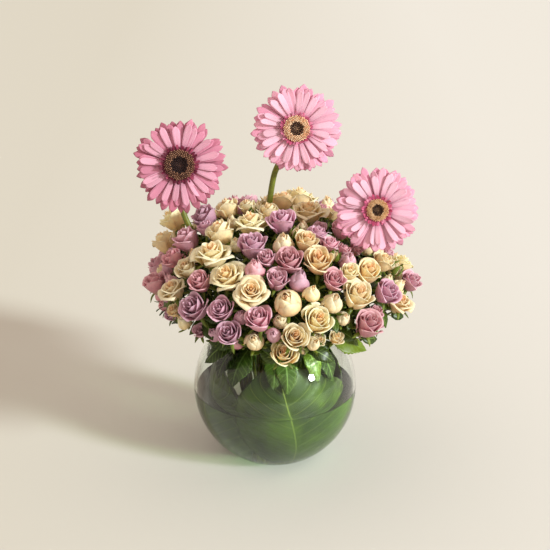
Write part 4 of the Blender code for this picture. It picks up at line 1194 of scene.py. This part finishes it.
def sepal(sheets, rose, line, number, rng):
    """One narrow pointed sepal, which hugs a green bud and bends back from the others."""
    axes = bloom_frame(rose, line)
    radius = rose.radius * BLOOM_FULLNESS
    hugging = rose.stage == "green"
    long = radius * (1.8 if hugging else 0.7) + (0.003 if hugging else 0.004)
    v, u = np.meshgrid(np.linspace(0, 1, 6), np.linspace(-1, 1, 3), indexing="ij")
    turn = math.radians(72 * number + rose.spin + rng.uniform(-8, 8))
    wide = (0.36 if hugging else 0.10) * radius + 0.0007
    half = wide * np.clip((1 - v) ** 0.9 * (0.75 + 1.3 * v), 0.02, 1)
    half = half + (0.00035 * (v < 0.95))
    bend = rng.uniform(-0.2, 0.35)
    if hugging:
        out = radius * (0.28 + 0.70 * np.sin(np.clip(v * 1.9, 0, 1) * math.pi / 2))
        out = out - radius * (0.46 - bend * 0.4) * np.clip((v - 0.5) / 0.5, 0, 1) ** 1.3
        rise = radius * 0.10 + long * v * 0.95
    elif rose.stage == "bud":
        out = radius * (0.28 + 0.80 * np.sin(np.clip(v * 1.7, 0, 1) * math.pi / 2)) + radius * 0.25 * v * v
        rise = radius * 0.10 + long * (0.85 * v - (0.30 + bend) * v * v)
    else:
        out = radius * 0.22 + long * (0.95 * v - 0.10 * v * v)
        rise = radius * 0.30 + long * (0.28 * v - (0.62 + bend) * v * v)
    turns = turn + u * half / np.maximum(out, radius * 0.3)
    lift = -abs(u) * half * 0.25
    local = np.stack((out * np.cos(turns), out * np.sin(turns), rise + lift), axis=-1)
    grid = np.array(tuple(line[-1])) + local @ axes
    shade = rng.uniform(0.7, 1.15)
    tints = even_tint(u.shape, SEPAL_GREEN, 0.0)
    tints[..., :3] *= shade
    sheets.add(grid, np.stack((u, v), axis=-1), tints)


def rose_leaf(sheets, foot, tip, wide, tint, rng, rows=LEAF_ROWS, columns=LEAF_COLUMNS):
    """A pointed leaflet with teeth, a fold along its rib, and a quilted blade."""
    long = (tip - foot).length
    ahead = (tip - foot) / long
    side = blade_side(foot, tip)
    top = side.cross(ahead)
    u, v = grid_of(rows, columns)
    outline = np.sin(math.pi * np.clip(v, 0, 1) ** 0.82) ** 0.8 * (1 - 0.25 * v) * 1.12
    tooth = 1 - ((v * LEAF_TEETH) % 1) * 0.16 * np.clip(np.sin(math.pi * v), 0, 1) * (abs(u) > 0.9)
    half = np.maximum(wide / 2 * outline * tooth, 0.0002)
    across = half * u
    forward = v + 0.10 * abs(u) * (1 - v) * np.sin(math.pi * v) * 0.6
    bow = 0.10 + rng.uniform(-0.03, 0.05)
    wave = 0.06 * wide * np.sin(v * 9 + rng.uniform(0, 6)) * abs(u) ** 1.5
    phase = v * LEAF_VEINS - abs(u) * 1.3
    quilt = 0.00035 * np.sin(2 * math.pi * phase) * np.clip(abs(u) * 4, 0, 1)
    rise = bow * long * np.sin(math.pi * v) - 0.16 * abs(across) + wave + quilt - 0.0005 * (abs(u) < 0.1)
    grid = (np.array(tuple(foot)) + forward[..., None] * long * np.array(tuple(ahead))
            + across[..., None] * np.array(tuple(side)) + rise[..., None] * np.array(tuple(top)))
    sheets.add(grid, np.stack((u, v), axis=-1), even_tint(u.shape, tint, 1.0))


finish, shader, tree = plain_finish("rose_green", LEAF_GREENS[0], 0.38)
shader.inputs["Specular IOR Level"].default_value = 0.4
tint = add_node(tree, "ShaderNodeVertexColor")
tint.layer_name = "tint"
place = tree.nodes.new("ShaderNodeTexCoord")
cloud = add_node(tree, "ShaderNodeTexNoise", Scale=120.0, Detail=4.0)
tree.links.new(place.outputs["Object"], cloud.inputs["Vector"])
shift = tree.nodes.new("ShaderNodeHueSaturation")
tree.links.new(tint.outputs["Color"], shift.inputs["Color"])
tree.links.new(ramp(tree, cloud.outputs["Fac"], 0.3, 0.7, 0.8, 1.2), shift.inputs["Value"])
rib, veins = vein_distance(tree, LEAF_VEINS, 1.3)
vein = mixed(tree, ramp(tree, veins, 0.02, 0.10, 0.35, 0), (0, 0, 0), (255, 255, 255))
whole = tree.nodes.new("ShaderNodeMath")
whole.operation = "MAXIMUM"
tree.links.new(ramp(tree, rib, 0.03, 0.09, 0.7, 0), whole.inputs[0])
tree.links.new(vein, whole.inputs[1])
only_leaves = tree.nodes.new("ShaderNodeMath")
only_leaves.operation = "MULTIPLY"
tree.links.new(whole.outputs[0], only_leaves.inputs[0])
tree.links.new(tint.outputs["Alpha"], only_leaves.inputs[1])
veined = mixed(tree, only_leaves.outputs[0], shift.outputs["Color"], (134, 164, 84))
tree.links.new(veined, shader.inputs["Base Color"])
glow = tree.nodes.new("ShaderNodeBsdfTranslucent")
tree.links.new(veined, glow.inputs["Color"])
mix = add_node(tree, "ShaderNodeMixShader", Fac=0.2)
tree.links.new(shader.outputs["BSDF"], mix.inputs[1])
tree.links.new(glow.outputs["BSDF"], mix.inputs[2])
tree.links.new(mix.outputs["Shader"], tree.nodes["Material Output"].inputs["Surface"])
green_finish = finish

rng = random.Random(31)
everything = np.vstack(list(room.balls.values()))
bloom_balls = everything[everything[:, 3] > 0.005]
for number, ((colour, trunk, branches), name) in enumerate(zip(plan, spray_names)):
    tubes = Tubes()
    sheets = Sheets()
    line = smooth_line(trunk, 5)
    tubes.add(line, [TRUNK_R * (1 - 0.12 * k / len(line)) for k in range(len(line))], STEM_GREEN)
    for rose, branch in branches:
        line = smooth_line(branch, 4)
        tubes.add(line, [BRANCH_R] * len(line), STEM_GREEN)
        tubes.add(*hip_rings(branch[-1], rose.aim(), rose.radius), HIP_GREEN, 10)
        for k in range(SEPALS):
            sepal(sheets, rose, branch, k, rng)
        small_leaves(sheets, tubes, line, rose, bloom_balls, rng)
        collar_leaves(sheets, tubes, line, rose, rng)
    for rose, line in extras.get(number, []):
        tubes.add(line, [BRANCH_R] * 3, STEM_GREEN, 5)
        tubes.add(*hip_rings(line[-1], rose.aim(), rose.radius), HIP_GREEN, 8)
        for k in range(SEPALS):
            sepal(sheets, rose, line, k, rng)
    for owner, line, tip, wide in leaves:
        if owner == number:
            tubes.add(line, [BRANCH_R * 0.8] * 2, STEM_GREEN, 6)
            rose_leaf(sheets, line[-1], tip, wide, LEAF_GREENS[rng.randrange(len(LEAF_GREENS))], rng)
    blades = sheets.made(name + "_greens")
    thicken(blades, SEPAL_THICK)
    stems = tubes.made(name + "_stems")
    select_only(blades, stems)
    bpy.ops.object.join()
    blades.data.materials.append(green_finish)
    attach(blades, "root")
    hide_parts(name)

# Gerberas
# A gerbera's head is three layers of grooved strap petals round a flat eye: a dark middle of closed
# florets, a tan ring of open ones, and a fringe of short magenta ones. A green cup of scales holds it.
GERBERA_EYES = {"left": (9.6, 17.5, 23.5), "middle": (7.8, 15.2, 19.5), "right": (6.4, 12.6, 18.0)}
PETAL_LAYERS = ((34, 1.02, -0.0045, -0.0030, 0.0096), (27, 0.97, -0.0030, 0.0000, 0.0092),
                (18, 0.87, -0.0015, 0.0022, 0.0078))
# Tints of the petal layers, from the back to the front: the layer behind is painted darker than the front one, as
# painted shade from the layers over it
LAYER_TINTS_AND_SHADE = {
    # Painted shade: the left head is darker in every layer, as if it stood in shade
    "left": ((204, 122, 146), (226, 148, 174), (238, 176, 198)),
    "middle": ((244, 172, 200), (251, 190, 212), (254, 202, 221)),
    "right": ((244, 172, 200), (251, 190, 212), (254, 202, 221)),
}
PETAL_ROOT = 0.012
FRINGE = 52
FRINGE_TINTS_AND_SHADE = {
    # Painted shade: the left head's fringe is darker, as if it stood in shade
    "left": ((136, 40, 72), (112, 28, 54), (184, 80, 112)),
    "middle": ((232, 124, 164), (208, 86, 128), (246, 160, 192)),
    "right": ((228, 112, 154), (204, 78, 120), (244, 152, 184)),
}
EYE_DARK = (34, 10, 14)
# Painted shade: the left head's tan and olive florets, on this line and the next, are darker, as if it stood in shade
EYE_TANS_AND_SHADE = {"left": (150, 108, 84), "middle": (255, 224, 188), "right": (250, 216, 170)}
EYE_OLIVES_AND_SHADE = {"left": (104, 68, 54), "middle": (240, 190, 148), "right": (228, 182, 132)}
STALK_OLIVE = (118, 126, 44)
CUP_GREEN = (96, 120, 50)


def head_axes(facing):
    """The directions across, up and out of a gerbera's head, as rows of a matrix."""
    side = facing.cross(UP).normalized()
    return np.array([tuple(side), tuple(side.cross(facing)), tuple(facing)])


def strap_petal(sheets, eye, axes, turn, start, end, depth, tip_back, wide, tint, rng):
    """One strap petal: narrow at its root, two grooves along it, and a blunt notched tip."""
    v, u = np.meshgrid(np.array((0, 0.22, 0.45, 0.66, 0.82, 0.93, 1.0)), np.linspace(-1, 1, 5), indexing="ij")
    half = wide / 2 * np.interp(v, (0, 0.25, 0.6, 0.85, 0.94, 1.0), (0.36, 0.62, 0.94, 0.98, 0.76, 0.30))
    half = half * rng.uniform(0.84, 1.14)
    sway = rng.uniform(-0.0022, 0.0022)
    twist = rng.uniform(-0.5, 0.5)
    out = start + (end - start) * (v - 0.03 * abs(u) * (v > 0.9))
    across = half * u + sway * v * v
    groove = 0.0007 * np.array((0.2, -1, 0.6, -1, 0.2))[None, :] * np.sin(math.pi * np.clip(v, 0, 0.9))
    cup = 0.10 * half * u * u
    rise = depth + tip_back * v * v + groove + cup + twist * across * v
    rise = rise + 0.0014 * np.sin(math.pi * v) * (1 if tip_back <= 0 else 0.4)
    radial = np.array((math.cos(turn), math.sin(turn)))
    beside = np.array((-math.sin(turn), math.cos(turn)))
    flat = out[..., None] * radial + across[..., None] * beside
    local = np.concatenate((flat, rise[..., None]), axis=-1)
    grid = np.array(tuple(eye)) + local @ axes
    root = np.clip(1 - v * 2.6, 0, 1)[..., None]
    tints = even_tint(u.shape, tint)
    tints[..., :3] = tints[..., :3] * (1 - root * (0.30, 0.62, 0.50)) * rng.uniform(0.90, 1.05)
    sheets.add(grid, np.stack((u, v), axis=-1), tints)


def eye_floret(tubes, base, out, facing, radius, tall, tint):
    """One tiny floret of the eye, wider at its middle and pinched at its mouth."""
    line = [base - facing * tall * 0.3, base + facing * tall * 0.45, base + facing * tall + out * tall * 0.1]
    tubes.add(line, [radius * 0.9, radius, radius * 0.35], tint, 5)


finish, shader, tree = plain_finish("gerbera_petal", (240, 170, 200), 0.5)
shader.inputs["Specular IOR Level"].default_value = 0.3
shader.inputs["Sheen Weight"].default_value = 0.2
tint = add_node(tree, "ShaderNodeVertexColor")
tint.layer_name = "tint"
where = add_node(tree, "ShaderNodeUVMap")
where.uv_map = "sheet"
stretch = add_node(tree, "ShaderNodeMapping", Scale=(7.0, 0.6, 1.0))
fibre = add_node(tree, "ShaderNodeTexNoise", Scale=2.0, Detail=5.0)
tree.links.new(where.outputs["UV"], stretch.inputs["Vector"])
tree.links.new(stretch.outputs["Vector"], fibre.inputs["Vector"])
shift = tree.nodes.new("ShaderNodeHueSaturation")
tree.links.new(tint.outputs["Color"], shift.inputs["Color"])
tree.links.new(ramp(tree, fibre.outputs["Fac"], 0.35, 0.65, 0.84, 1.06), shift.inputs["Value"])
tree.links.new(shift.outputs["Color"], shader.inputs["Base Color"])
bump = add_node(tree, "ShaderNodeBump", Strength=0.5, Distance=0.0004)
tree.links.new(fibre.outputs["Fac"], bump.inputs["Height"])
tree.links.new(bump.outputs["Normal"], shader.inputs["Normal"])
glow = tree.nodes.new("ShaderNodeBsdfTranslucent")
tree.links.new(shift.outputs["Color"], glow.inputs["Color"])
mix = add_node(tree, "ShaderNodeMixShader", Fac=0.25)
tree.links.new(shader.outputs["BSDF"], mix.inputs[1])
tree.links.new(glow.outputs["BSDF"], mix.inputs[2])
tree.links.new(mix.outputs["Shader"], tree.nodes["Material Output"].inputs["Surface"])
strap_finish = finish

finish, shader, tree = plain_finish("gerbera_eye", EYE_DARK, 0.6)
tint = add_node(tree, "ShaderNodeVertexColor")
tint.layer_name = "tint"
tree.links.new(tint.outputs["Color"], shader.inputs["Base Color"])
eye_finish = finish

rng = random.Random(41)
facing = GERBERA_FACES.normalized()
axes = head_axes(facing)
for name, (eye, wide, neck) in GERBERAS.items():
    dark, tan, fringe = (radius * MM for radius in GERBERA_EYES[name])
    sheets = Sheets()
    # Each layer takes its tint, with painted shade darkening the layer behind and the whole left head
    for (count, reach, depth, tip_back, across), tint in zip(PETAL_LAYERS, LAYER_TINTS_AND_SHADE[name]):
        offset = rng.uniform(0, 1)
        for k in range(count):
            turn = 2 * math.pi * (k + offset + rng.uniform(-0.30, 0.30)) / count
            end = wide / 2 * reach * rng.uniform(0.88, 1.02)
            strap_petal(sheets, eye, axes, turn, PETAL_ROOT, end, depth + rng.uniform(-0.0006, 0.0006),
                        tip_back + rng.uniform(-0.0025, 0.0025), across, tint, rng)
    for k in range(FRINGE):
        turn = 2 * math.pi * (k + rng.uniform(-0.2, 0.2)) / FRINGE
        strap_petal(sheets, eye, axes, turn, tan * 0.80, fringe * rng.uniform(0.86, 1.05), 0.0014,
                    rng.uniform(0.0005, 0.0035), 0.0026, FRINGE_TINTS_AND_SHADE[name][rng.randrange(3)], rng)
    petals = sheets.made("gerbera_%s_rays" % name)
    thicken(petals, PETAL_THICK)
    petals.data.materials.append(strap_finish)
    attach(petals, "root")
    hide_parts("gerbera_%s_petals" % name)

    tubes = Tubes()
    side, rise, out = (Vector(row) for row in axes)
    tubes.add([eye + facing * depth for depth in (-0.0045, -0.001, 0.0016, 0.0022)],
              [tan * 0.7, tan * 0.98, tan * 0.93, tan * 0.6], EYE_OLIVES_AND_SHADE[name], 40)
    florets = 260
    for k in range(florets):
        share = math.sqrt((k + 0.5) / florets)
        turn = math.radians(k * GOLDEN_TURN)
        away = side * math.cos(turn) + rise * math.sin(turn)
        reach = tan * share
        dome = 0.0022 + 0.0022 * math.sin(math.pi * min(1, share * 1.05)) - 0.0012 * (share < dark / tan * 0.8)
        inside = reach < dark
        # The left head's tan and olive florets carry painted shade
        tint = EYE_DARK if inside else (EYE_TANS_AND_SHADE[name] if rng.random() < 0.68 else EYE_OLIVES_AND_SHADE[name])
        tall = 0.0022 if inside else rng.uniform(0.0024, 0.0038)
        eye_floret(tubes, eye + away * reach + facing * dome, away, facing, tan * 0.052, tall, tint)
    disc = tubes.made("gerbera_%s_disc" % name)
    disc.data.materials.append(eye_finish)
    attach(disc, "root")
    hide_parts("gerbera_%s_eye" % name)

    tubes = Tubes()
    line = smooth_line(gerbera_stem(name), 5)
    tubes.add(line, [GERBERA_STEM_R] * len(line), STALK_OLIVE, 14)
    tubes.add([eye + facing * depth for depth in (-0.022, -0.019, -0.015, -0.011, -0.0085)],
              [0.0036, 0.0060, 0.0092, 0.0115, 0.0120], CUP_GREEN, 20)
    scales = Sheets()
    for k in range(34):
        turn = 2 * math.pi * k * 0.382
        low = -0.019 + 0.0045 * (k // 12)
        u, v = grid_of(5, 3)
        reach = np.interp(low + 0.010 * v, (-0.022, -0.015, -0.0085, -0.004), (0.0048, 0.0100, 0.0132, 0.0150))
        spread = turn + u * 0.17 * (1 - v ** 2.5 * 0.9)
        local = np.stack((reach * np.cos(spread), reach * np.sin(spread), low + 0.010 * v), axis=-1)
        scales.add(np.array(tuple(eye)) + local @ axes, np.stack((u, v), axis=-1), even_tint(u.shape, CUP_GREEN, 0.0))
    cup = scales.made("gerbera_%s_stalk" % name)
    thicken(cup, 0.0005)
    stalk = tubes.made("stalk_of_" + name)
    select_only(cup, stalk)
    bpy.ops.object.join()
    cup.data.materials.append(green_finish)
    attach(cup, "root")
    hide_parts("gerbera_%s_stem" % name)

low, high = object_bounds()
